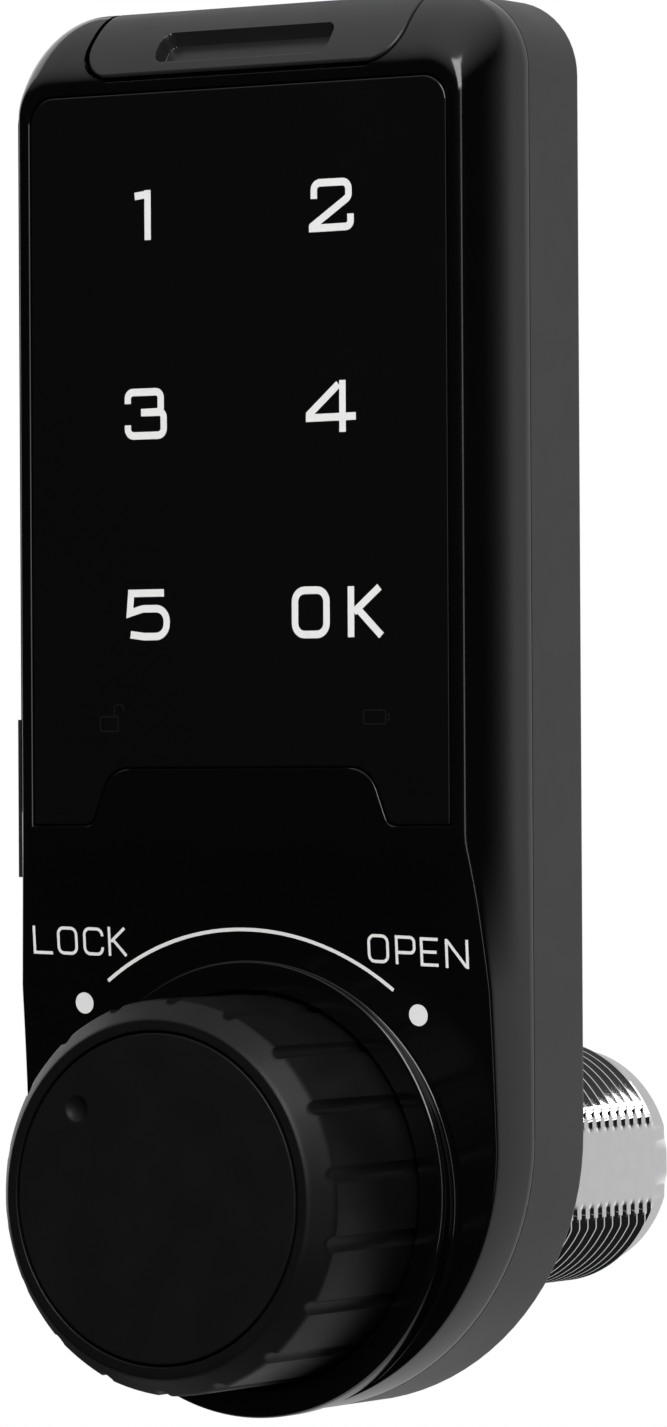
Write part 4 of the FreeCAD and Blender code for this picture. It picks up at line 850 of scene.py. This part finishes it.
def panel_slab(sizes, front):
    """Keypad panel: its outline on the face, a round edge and the outline at the seat, closed by two lids."""
    gap, small = 0.1 * MM, 0.18 * MM

    def loop(inset, depth):
        """The whole outline, moved inwards by the inset, at a depth."""
        half = panel_outline(sizes, inset)
        left = half[1:-1][::-1] * np.array([-1.0, 1.0])
        return at_place(np.concatenate([half, left]), front + depth)

    face, rear = loop(gap + small + GUARD, 0.0), loop(gap, sizes.seat)
    edge = bend(loop(gap + small, 0.0), loop(gap, 0.0), loop(gap, small), 5)
    slab = Surface().patch(np.concatenate([face[None], edge, rear[None]]), wrap=True)
    return slab.lid(face).lid(rear)


class MakeKeypad(bpy.types.Operator):
    """Gloss keypad panel, its numerals and its faint signs"""
    bl_idname = "locker_lock.make_keypad"
    bl_label = "Keypad"

    def execute(self, context):
        scene = context.scene
        sizes, front, lift = scene.lock_keypad, scene.lock_case.front, scene.lock_print.lift
        colours, forward = scene.lock_colours, (0, -1, 0)
        gloss = plastic("panel_gloss_black", colours.panel, rough=0.06, grain=500, strength=0.006,
                        uneven=0.1)
        panel = panel_slab(sizes, front).mesh("keypad_panel", forward)
        place("keypad_panel", panel, gloss, "case", ["touch_panel"])

        numerals, signs = Surface(), Surface()
        for sign, x0, x1, z0, z1 in KEYS:
            strokes = glyph_strokes(sign, (x0 * MM, z0 * MM), (x1 * MM, z1 * MM), sizes.stroke)
            lay_print(numerals, strokes, flat_depth, front, lift)
        lay_print(signs, faint_strokes(), flat_depth, front, lift)
        ink = printing("numeral_print", colours.print, rough=0.35)
        ghost = printing("faint_print", colours.ghost, rough=0.3)
        for name, surface, finish in (("keypad_numerals", numerals, ink), ("keypad_signs", signs, ghost)):
            place(name, surface.mesh(name, forward, True), finish, "case")
        return {"FINISHED"}


class MakePrint(bpy.types.Operator):
    """Words, arc and dots printed on the lower face"""
    bl_idname = "locker_lock.make_print"
    bl_label = "Print"

    def execute(self, context):
        scene = context.scene
        sizes = scene.lock_print
        marks = Surface()
        tilt = np.array([[1, -FALL], [FALL, 1]])
        runs = []
        for sign, x0, x1, base in LETTERS:
            low = np.array([x0 * MM, base * MM])
            high = np.array([x1 * MM, base * MM + sizes.word_height])
            middle = (low + high) / 2
            strokes = glyph_strokes(sign, low, high, sizes.word_stroke)
            runs.append([middle + (stroke - middle) @ tilt for stroke in strokes])
        arc = ARC_CENTRE + sizes.arc_radius * around(np.radians(np.linspace(*ARC_ENDS, 90)))
        runs.append([ribbon(arc, sizes.arc_width)])
        runs += [[dot_stroke(np.array(dot) * MM, sizes.dot_radius)] for dot in DOTS]
        for strokes in runs:
            lay_print(marks, strokes, face_depth, scene.lock_case.front, sizes.lift)
        ink = printing("face_print", scene.lock_colours.print, rough=0.45)
        place("face_print", marks.mesh("face_print", (0, -1, 0), True), ink, "case")
        return {"FINISHED"}


GRIP_CORNER = 0.9 * MM        # corner radius of the finger grip
GRIP_RIM = 0.3 * MM           # width of the band over which the grip sinks
LEG_X = (12.35 * MM, 13.55 * MM)                 # inner and outer side of the guide legs
LEG_Y = (-8.45 * MM, -4.45 * MM)                 # front and rear of the guide legs
LEG_ROOT = 1.7 * MM           # depth of the legs' root below the top of the case


def door_skin(sizes, case):
    """Battery door: a profile up the crowned front and back over the top, carried across the door's width.

    On the crown the depth follows from the height, which rises by even turns round the lower corners. Each
    point then sinks square to the profile: near an edge by what a round edge lacks, and in the finger grip
    by its depth, which eases in over the rim by the distance to a rectangle with round corners.
    """
    foot = case.top - case.top_crown
    heights = foot + sizes.corner * (1 - np.cos(np.linspace(0, math.pi / 2, 64)))
    low = case.top_depth * (1 - np.sqrt((case.top - heights) / case.top_crown))
    flat = sizes.rear - case.front - case.top_depth
    depth = np.concatenate([low, low[-1] + (case.top_depth - low[-1]) * np.linspace(0, 1, 26)[1:] ** 1.5,
                            case.top_depth + flat * np.array([0.2, 0.5, 0.8, 0.94, 0.975, 1])])
    top = case.top - leaning(depth, case.top_crown, case.top_depth)
    along = np.concatenate([[0], np.cumsum(np.hypot(np.diff(depth), np.diff(top)))])[:, None]
    lean = np.arctan2(np.gradient(top), np.gradient(depth))[:, None]
    half = door_half(top, sizes, case, 0.0)[:, None]

    end = sizes.slot_length / 2
    inner, near = end - 1.3 * MM, end + 1.5 * MM
    middle = np.concatenate([np.linspace(0, inner, 8), np.linspace(inner, end + 0.4 * MM, 34)[1:], [near]])
    outer = np.append(np.linspace(0, 0.86, 7)[1:], [0.9, 0.93, 0.955, 0.975, 0.99, 1.0])
    right = np.concatenate([np.broadcast_to(middle, (len(half), len(middle))), near + (half - near) * outer],
                           axis=1)
    x = np.concatenate([-right[:, ::-1], right[:, 1:]], axis=1)

    edge = np.minimum.reduce([half - np.abs(x), along + 0 * x, along[-1] - along + 0 * x])
    outside = np.clip(sizes.edge - edge, 0, sizes.edge)
    dx = np.abs(x) - (end - GRIP_CORNER)
    ds = np.abs(along - sizes.slot_centre) - (sizes.slot_width / 2 - GRIP_CORNER)
    slot = np.hypot(np.maximum(dx, 0), np.maximum(ds, 0)) + np.minimum(np.maximum(dx, ds), 0) - GRIP_CORNER
    sink = np.clip(0.5 - slot / GRIP_RIM, 0, 1)
    drop = sizes.edge - np.sqrt(sizes.edge ** 2 - outside ** 2)
    drop = drop + sizes.slot_depth * sink * sink * (3 - 2 * sink)
    return Surface().patch(stack(x, case.front + depth[:, None] + drop * np.sin(lean),
                                 top[:, None] - drop * np.cos(lean)))


def leg_tube(x0, x1, y0, y1, z0, z1):
    """Guide leg: a rectangle carried from a narrowed closed tip up to its root."""
    middle = np.array([(x0 + x1) / 2, (y0 + y1) / 2])
    ring = np.array([(x0, y0), (x1, y0), (x1, y1), (x0, y1)])
    rows = []
    for share, z in ((0.0, z0), (0.7, z0), (1.0, z0 + 0.6 * MM), (1.0, z1), (0.0, z1)):
        spot = middle + (ring - middle) * share
        rows.append(stack(spot[:, 0], spot[:, 1], z))
    return np.stack(rows)


class MakeDoor(bpy.types.Operator):
    """Battery door with its finger grip and guide legs"""
    bl_idname = "locker_lock.make_door"
    bl_label = "Battery door"

    def execute(self, context):
        scene = context.scene
        case = scene.lock_case
        satin = plastic("door_satin_black", scene.lock_colours.door, rough=0.34, grain=5200,
                        strength=0.05, uneven=0.12)
        cap = door_skin(scene.lock_door, case).mesh("battery_cap", (0, 0, 1))
        place("battery_cap", cap, satin, "door", ["battery_door"], wall=WALL)
        legs = Surface()
        for side in (-1, 1):
            inner, outer = (x * side for x in LEG_X)
            legs.patch(leg_tube(inner, outer, *LEG_Y, DOOR[0].z, case.top - LEG_ROOT), wrap=True)
        place("battery_cap_legs", legs.mesh("battery_cap_legs", (1, 0, 0)), satin, "door")
        return {"FINISHED"}


def knob_shell(sizes):
    """Profile of radius and place along Y, turned about the axis and notched by round grooves.

    Where the wall is wider than a groove's near side, the radius is the groove's. The lands between
    the grooves are drawn towards the chord that joins them.
    """
    radius, front, rear, well, rim = sizes.radius, sizes.front, sizes.rear, sizes.well, sizes.rim
    small = 0.12 * MM
    hub, hub_bore, hub_rear = 7.0 * MM, 4.0 * MM, GRIP[1].y
    seat, web = front + 1.65 * MM, front + 3.4 * MM
    foot = front + sizes.bevel
    bevel_start = np.array([rim + 0.25 * MM, front + 0.30 * MM])
    bevel_end = np.array([radius - 1.4 * small, foot - 1.75 * small])
    wall_start = np.array([radius, foot + 2 * small])
    profile = np.concatenate([
        [[well, seat]],
        bend(np.array([well, front + small]), np.array([well, front]), np.array([well + small, front]), 4),
        [[well + small + GUARD, front], [rim - small - GUARD, front]],
        bend(np.array([rim - small, front]), np.array([rim, front]), bevel_start, 8),
        between(bevel_start, bevel_end, np.linspace(0, 1, 9)[1:-1]),
        bend(bevel_end, np.array([radius, foot]), wall_start, 5),
        between(wall_start, np.array([radius, rear - small]), np.linspace(0, 1, 7)[1:]),
        [[radius - small, rear], [radius - sizes.wall, rear], [radius - sizes.wall, web], [hub, web],
         [hub, hub_rear], [hub_bore, hub_rear], [hub_bore, seat], [well, seat]],
    ])
    centre = radius + sizes.groove_radius - sizes.groove_depth
    pitch = 2 * math.pi / sizes.grooves
    half = math.asin(sizes.groove_radius / centre)
    within = np.concatenate([half * np.sin(np.linspace(-math.pi / 2, math.pi / 2, 13)),
                             np.linspace(half, pitch - half, 12)[1:-1]])
    angle = (sizes.groove_start + pitch * np.arange(sizes.grooves)[:, None] + within).ravel()
    local = np.tile(within, sizes.grooves)
    from_groove = np.where(local > pitch / 2, local - pitch, local)
    inside = np.clip(sizes.groove_radius ** 2 - (centre * np.sin(from_groove)) ** 2, 0, None)
    groove = np.where(np.abs(from_groove) <= half, centre * np.cos(from_groove) - np.sqrt(inside), 1.0)
    chord = math.cos(pitch / 2) / np.cos(np.abs(from_groove) - pitch / 2)
    r = profile[:, :1] + 0 * angle
    share = np.clip((r - rim) / (radius - rim), 0, 1)
    r = r * (1 - sizes.flatness * share * (1 - chord))
    r = np.where(r > radius - sizes.wall - 0.5 * MM, np.minimum(r, groove), r)
    return Surface().patch(turned(r, angle, profile[:, 1:]), wrap=True)


def knob_disc(sizes):
    """Disc as rings about the dimple: a hollow of a sphere, its soft lip, then out to the disc's round edge.

    The sphere passes through the dimple's rim and its deepest point. A ring's way to the disc's edge is the
    distance from the dimple to that circle along each direction.
    """
    radius, front, size, deep = CAP[1].x, sizes.front, sizes.pointer_size, sizes.pointer_depth
    small, rear = 0.12 * MM, front + 1.6 * MM
    ring = around(np.linspace(0, 2 * math.pi, 160, endpoint=False))
    middle = sizes.pointer_radius * around(sizes.pointer_angle)
    ball = (size ** 2 + deep ** 2) / (2 * deep)
    rows = []
    for share in (0.0, 0.15, 0.3, 0.45, 0.6, 0.72, 0.82, 0.9):
        sunk = deep - ball + math.sqrt(ball ** 2 - (size * share) ** 2)
        rows.append(at_place(middle + ring * size * share, front + sunk))
    rim, lip = middle + ring * size, middle + ring * size * 1.1
    rows[-1:] = bend(rows[-1], at_place(rim, front), at_place(lip, front), 4)
    reach = -(ring @ middle) + np.sqrt((ring @ middle) ** 2 + radius ** 2 - middle @ middle)
    outer = middle + ring * reach[:, None]
    flat = at_place(outer * (1 - small / radius), front)
    rows += list(between(rows[-1], flat, [0.02, 0.5, 0.99]))
    rows += list(bend(flat, at_place(outer, front), at_place(outer, front + small), 4))
    rows += [at_place(outer, rear), at_place(outer * 0.0, rear)]
    return Surface().patch(np.stack(rows), wrap=True)


class MakeKnob(bpy.types.Operator):
    """Grooved knob and its matt disc with the pointer dimple"""
    bl_idname = "locker_lock.make_knob"
    bl_label = "Knob"

    def execute(self, context):
        scene = context.scene
        sizes, forward = scene.lock_knob, (0, -1, 0)
        grip = plastic("knob_satin_black", scene.lock_colours.grip, rough=0.42, grain=4200,
                       strength=0.12, uneven=0.10, specular=0.22)
        shell = knob_shell(sizes).mesh("knob_shell", forward)
        place("knob_shell", shell, grip, "knob", ["knob_grip"])
        matt = plastic("disc_matt_black", scene.lock_colours.cap, rough=0.5, grain=6500,
                       strength=0.22, uneven=0.10, specular=0.25)
        disc = knob_disc(sizes).mesh("knob_disc", forward)
        place("knob_disc", disc, matt, "knob", ["knob_cap"])
        return {"FINISHED"}


THREAD_START = -2.6 * MM      # place along Y where flange and thread meet
FLANGE_FRONT = -4.4 * MM      # place along Y of the flange's front
CYCLE = np.array([0.0, 0.0625, 0.24, 0.4375, 0.5, 0.5625, 0.76, 0.9375])      # shares of a pitch
CYCLE_HEIGHT = np.array([1.0, 1.0, 0.5, 0.03, 0.0, 0.03, 0.5, 1.0])           # 1 on the crest, 0 in the root


def barrel_surface(sizes):
    """Rows climb along the thread's helix: place = pitch x (turn + share - angle / full turn).

    The place is held to the thread's ends. Over a pitch the radius goes crest, flank, root, flank. Behind
    the case two flats cap it at flat / |cos angle|, and it fades to the plain tip at the end.
    """
    angle = np.linspace(0, 2 * math.pi, 288, endpoint=False)
    flats = sizes.flat / np.maximum(np.abs(np.cos(angle)), 1e-6)
    start, end = THREAD_START, sizes.length - sizes.tip
    turns = int((end - start) / sizes.pitch) + 3
    phase = (np.arange(turns)[:, None] + CYCLE).ravel()[:, None] - 1
    level = np.tile(CYCLE_HEIGHT, turns)[:, None]
    raw = start + sizes.pitch * (phase - angle / (2 * math.pi))
    fade = np.clip((end - raw) / (1.1 * MM), 0, 1)
    crest = sizes.radius - (sizes.radius - sizes.tip_radius) * (1 - fade)
    root = sizes.radius - sizes.thread_depth
    r = np.maximum(np.minimum(crest, root + (sizes.radius - root) * level), root)
    r = np.where(raw <= start, sizes.radius, np.where(raw >= end, sizes.tip_radius, r))

    def ring(radius, y):
        """Points round the axis, capped by the flats behind the case."""
        return turned(np.where(y > 0, np.minimum(radius, flats), radius), angle, y)

    small, lip, rear, bore = 0.4 * MM, 0.25 * MM, sizes.length, sizes.bore
    rows = [ring(bore, FLANGE_FRONT), ring(sizes.flange - 0.2 * MM, FLANGE_FRONT),
            ring(sizes.flange, FLANGE_FRONT + 0.2 * MM), ring(sizes.flange, start)]
    rows += list(ring(r, np.clip(raw, start, end)))
    rows += [ring(sizes.tip_radius, end), ring(sizes.tip_radius, rear - small),
             ring(sizes.tip_radius - small, rear), ring(bore + lip, rear), ring(bore, rear - lip),
             ring(bore, FLANGE_FRONT)]
    return Surface().patch(np.stack(rows), wrap=True)


class MakeBarrel(bpy.types.Operator):
    """Chromed threaded barrel with two flats, plain tip and flange"""
    bl_idname = "locker_lock.make_barrel"
    bl_label = "Barrel"

    def execute(self, context):
        scene = context.scene
        mesh = barrel_surface(scene.lock_barrel).mesh("threaded_shank", (0, 1, 0))
        chrome = metal("barrel_chrome_plate", scene.lock_colours.chrome, rough=0.07, grain=700,
                       strength=0.05)
        place("threaded_shank", mesh, chrome, "case", ["threaded_barrel"], crease=15)
        return {"FINISHED"}


class DressFrame(bpy.types.Operator):
    """Finishes of the pieces that keep their own shape"""
    bl_idname = "locker_lock.dress_frame"
    bl_label = "Finishes"

    def execute(self, context):
        colours, top = context.scene.lock_colours, context.scene.lock_case.top
        dress_nodes(plastic("base_satin_grey", colours.base, rough=0.40, grain=3800, strength=0.10,
                            uneven=0.05), "rear_base")
        dress_nodes(plastic("flap_rubber_black", colours.rubber, rough=0.6, grain=2500, strength=0.2,
                            uneven=0.2), "port_flap")
        dress_nodes(metal("zinc_steel", colours.steel, rough=0.30, grain=900, strength=0.15),
                    "knob_screw", "lock_disc", "stop_pin", "thrust_washer", "retaining_clip", "barrel_screws",
                    "solenoid_frame", "solenoid_screws", "blocking_plunger", "case_screws", "power_socket")
        dress_nodes(metal("turned_steel", colours.steel, rough=0.25, grain=1500, strength=0.2,
                          stretch=(0.1, 1, 0.1)), "spindle")
        dress_nodes(metal("contact_nickel", (0.62, 0.6, 0.56), rough=0.22, grain=1200, strength=0.1),
                    "bay_contact_left", "bay_contact_right", "door_contact")
        dress_nodes(circuit("board_lacquer"), "touch_board")
        dress_nodes(plastic("chip_moulding", (0.015, 0.015, 0.015), rough=0.5, grain=3000, strength=0.1),
                    "controller_chip", "buzzer")
        dress_nodes(plastic("diffuser_white", (0.7, 0.7, 0.69), rough=0.5, grain=800, strength=0.05,
                            uneven=0.04), "light_guide")
        dress_nodes(plastic("lamp_phosphor", (0.8, 0.74, 0.4), rough=0.4, grain=3000, strength=0.05),
                    "key_lights")
        dress_nodes(wound("copper_winding"), "solenoid_coil")
        cell_ends = (top - 46 * MM, top - 3 * MM)
        dress_nodes(banded("cell_sleeve", (0.02, 0.02, 0.022), (0.35, 0.24, 0.1), rough=0.3,
                           borders=cell_ends), "battery_cell_left", "battery_cell_right")
        return {"FINISHED"}


# Stage

# Soft lamps: name, place, target, width and height in metres, power in watts
LAMPS = (
    ("key_softbox", (0.36, -0.40, 0.44), (0.0, 0.0, 0.04), 0.30, 0.50, 3.6),
    ("right_softbox", (0.64, -0.48, 0.04), (0.0, 0.0, 0.04), 0.12, 0.7, 0.6),
    ("left_softbox", (-0.62, 0.34, 0.22), (0.0, 0.0, 0.02), 0.5, 0.6, 0.9),
    ("front_fill", (0.10, -0.80, 0.30), (0.0, 0.0, 0.03), 0.8, 0.6, 3.5),
)
UNSEEN = "front_fill"         # this lamp leaves no reflection


class MakeStage(bpy.types.Operator):
    """Pale floor, white surroundings, soft lamps and the camera"""
    bl_idname = "locker_lock.make_stage"
    bl_label = "Studio"

    def execute(self, context):
        scene = context.scene
        studio = scene.lock_studio
        scene.view_settings.view_transform = "Standard"
        scene.world = surroundings()
        make_floor(studio.floor)
        for settings in LAMPS:
            light = lamp(*settings)
            light.visible_glossy = light.name != UNSEEN
        add_camera(studio)
        return {"FINISHED"}


def ray_kinds(tree):
    """Two marks, 1 or 0: for rays by way of a mirror or of clear material, and for the camera's own rays."""
    path = node(tree, "LightPath", "Is Camera Ray")
    kinds = path.node.outputs
    return maths(tree, "MAXIMUM", kinds["Is Glossy Ray"], kinds["Is Transmission Ray"]), path


def surroundings():
    """Even white for the camera, a dim even room for scattered light, and a patterned room for reflections.

    That pattern is the largest of four: a glow that grows towards the back, one that grows towards the
    top, one from below on the far side, and a faint even light.
    """
    world = bpy.data.worlds.new("surroundings")
    world.use_nodes = True
    tree = world.node_tree
    tree.nodes.clear()
    way = node(tree, "SeparateXYZ", "X", {"Vector": node(tree, "TexCoord", "Generated")}).node.outputs
    behind = maths(tree, "POWER", ramp(tree, way["Y"], 0.2, 1.0), 3.1)
    above = ramp(tree, way["Z"], 0.38, 1.0)
    below = maths(tree, "MULTIPLY", ramp(tree, way["Z"], -0.55, -0.9), ramp(tree, way["Y"], 0.1, 0.35))
    backdrop = 0.012
    for glow in (behind, above, below):
        backdrop = maths(tree, "MAXIMUM", glow, backdrop)
    mirror, camera = ray_kinds(tree)
    strength = blend(tree, camera, blend(tree, mirror, 0.30, backdrop), 1.0)
    light = node(tree, "Background", "Background", {"Color": (1, 1, 1, 1), "Strength": strength})
    feed(tree, tree.nodes.new("ShaderNodeOutputWorld"), {"Surface": light})
    return world


def make_floor(height):
    """Pale round floor. Near the object it keeps the shadow, and farther out it fades into white."""
    angle = np.linspace(0, 2 * math.pi, 96, endpoint=False)
    rows = [stack(r * np.cos(angle), 0.08 + r * np.sin(angle), height) for r in (0.0, 0.1, 0.2)]
    mesh = Surface().patch(np.stack(rows), wrap=True).mesh("floor", (0, 0, 1), True)
    material, tree, here = new_finish("pale_floor")
    coat(material, {"Base Color": tint(tree, noise(tree, here, 40), (0.86, 0.86, 0.86), (0.9, 0.9, 0.9)),
                    "Roughness": 0.9})
    away = node(tree, "VectorMath", "Value", {0: here}, operation="LENGTH")
    fade = ramp(tree, away, 0.05, 0.12, interpolation_type="SMOOTHSTEP")
    feed(tree, fade.node, {"To Min": 0.3})
    share = maths(tree, "MULTIPLY", maths(tree, "MAXIMUM", *ray_kinds(tree)), fade)
    pale = tree.nodes["Principled BSDF"].outputs["BSDF"]
    faded = node(tree, "MixShader", "Shader", {"Fac": share, 1: pale, 2: node(tree, "Emission", "Emission")})
    feed(tree, tree.nodes["Material Output"], {"Surface": faded})
    mesh.materials.append(material)
    floor = bpy.data.objects.new("floor", mesh)
    floor.visible_glossy = False
    bpy.context.scene.collection.objects.link(floor)


def lamp(name, spot, target, width, height, power):
    """Rectangular soft lamp at a spot, turned to a target."""
    data = bpy.data.lights.new(name, "AREA")
    data.shape = "RECTANGLE"
    data.size, data.size_y, data.energy = width, height, power
    light = bpy.data.objects.new(name, data)
    light.location = spot
    light.rotation_euler = (Vector(target) - Vector(spot)).to_track_quat("-Z", "Y").to_euler()
    bpy.context.scene.collection.objects.link(light)
    return light


def add_camera(studio):
    """Camera at the photograph's place: looks along its heading and pitch, with its roll."""
    a, e, r = studio.heading, studio.pitch, studio.roll
    ahead = Vector((-math.sin(a) * math.cos(e), math.cos(a) * math.cos(e), -math.sin(e)))
    right = Vector((math.cos(a), math.sin(a), 0))
    up = right.cross(ahead)
    turned_right = right * math.cos(r) + up * math.sin(r)
    turned_up = turned_right.cross(ahead)
    data = bpy.data.cameras.new("camera")
    data.lens = studio.lens
    data.clip_start = 0.01
    data.shift_x = studio.shift
    camera = bpy.data.objects.new("camera", data)
    camera.matrix_world = Matrix.Translation(Vector(studio.eye)) @ Matrix(
        (turned_right, turned_up, -ahead)).transposed().to_4x4()
    bpy.context.scene.collection.objects.link(camera)
    bpy.context.scene.camera = camera


# Panel and start

class LOCK_PT_pieces(bpy.types.Panel):
    """Lists the operators and the sizes that they use"""
    bl_label = "Locker lock"
    bl_space_type = "VIEW_3D"
    bl_region_type = "UI"
    bl_category = "Locker lock"

    def draw(self, context):
        column = self.layout.column(align=True)
        for operator in OPERATORS:
            column.operator(operator.bl_idname)
        for name in GROUPS:
            group = getattr(context.scene, name)
            box = self.layout.box()
            for key in group.__annotations__:
                box.prop(group, key)


OPERATORS = (MakeCover, MakeKeypad, MakePrint, MakeDoor, MakeKnob, MakeBarrel, DressFrame, MakeStage)
GROUPS = {"lock_case": CaseSizes, "lock_door": DoorSizes, "lock_keypad": KeypadSizes, "lock_knob": KnobSizes,
          "lock_barrel": BarrelSizes, "lock_print": PrintSizes, "lock_colours": FinishColours,
          "lock_studio": StudioSettings}


def register():
    """Registers sizes, operators and panel, and hangs the sizes on the scene."""
    for group in GROUPS.values():
        bpy.utils.register_class(group)
    for operator in OPERATORS:
        bpy.utils.register_class(operator)
    bpy.utils.register_class(LOCK_PT_pieces)
    for name, group in GROUPS.items():
        setattr(bpy.types.Scene, name, PointerProperty(type=group))


def unregister():
    """Takes back what register did, in the opposite order."""
    for name in GROUPS:
        delattr(bpy.types.Scene, name)
    bpy.utils.unregister_class(LOCK_PT_pieces)
    for operator in reversed(OPERATORS):
        bpy.utils.unregister_class(operator)
    for group in reversed(list(GROUPS.values())):
        bpy.utils.unregister_class(group)


def main():
    """Makes every piece in order."""
    register()
    for operator in OPERATORS:
        group, name = operator.bl_idname.split(".")
        getattr(getattr(bpy.ops, group), name)()


if __name__ == "__main__":
    main()
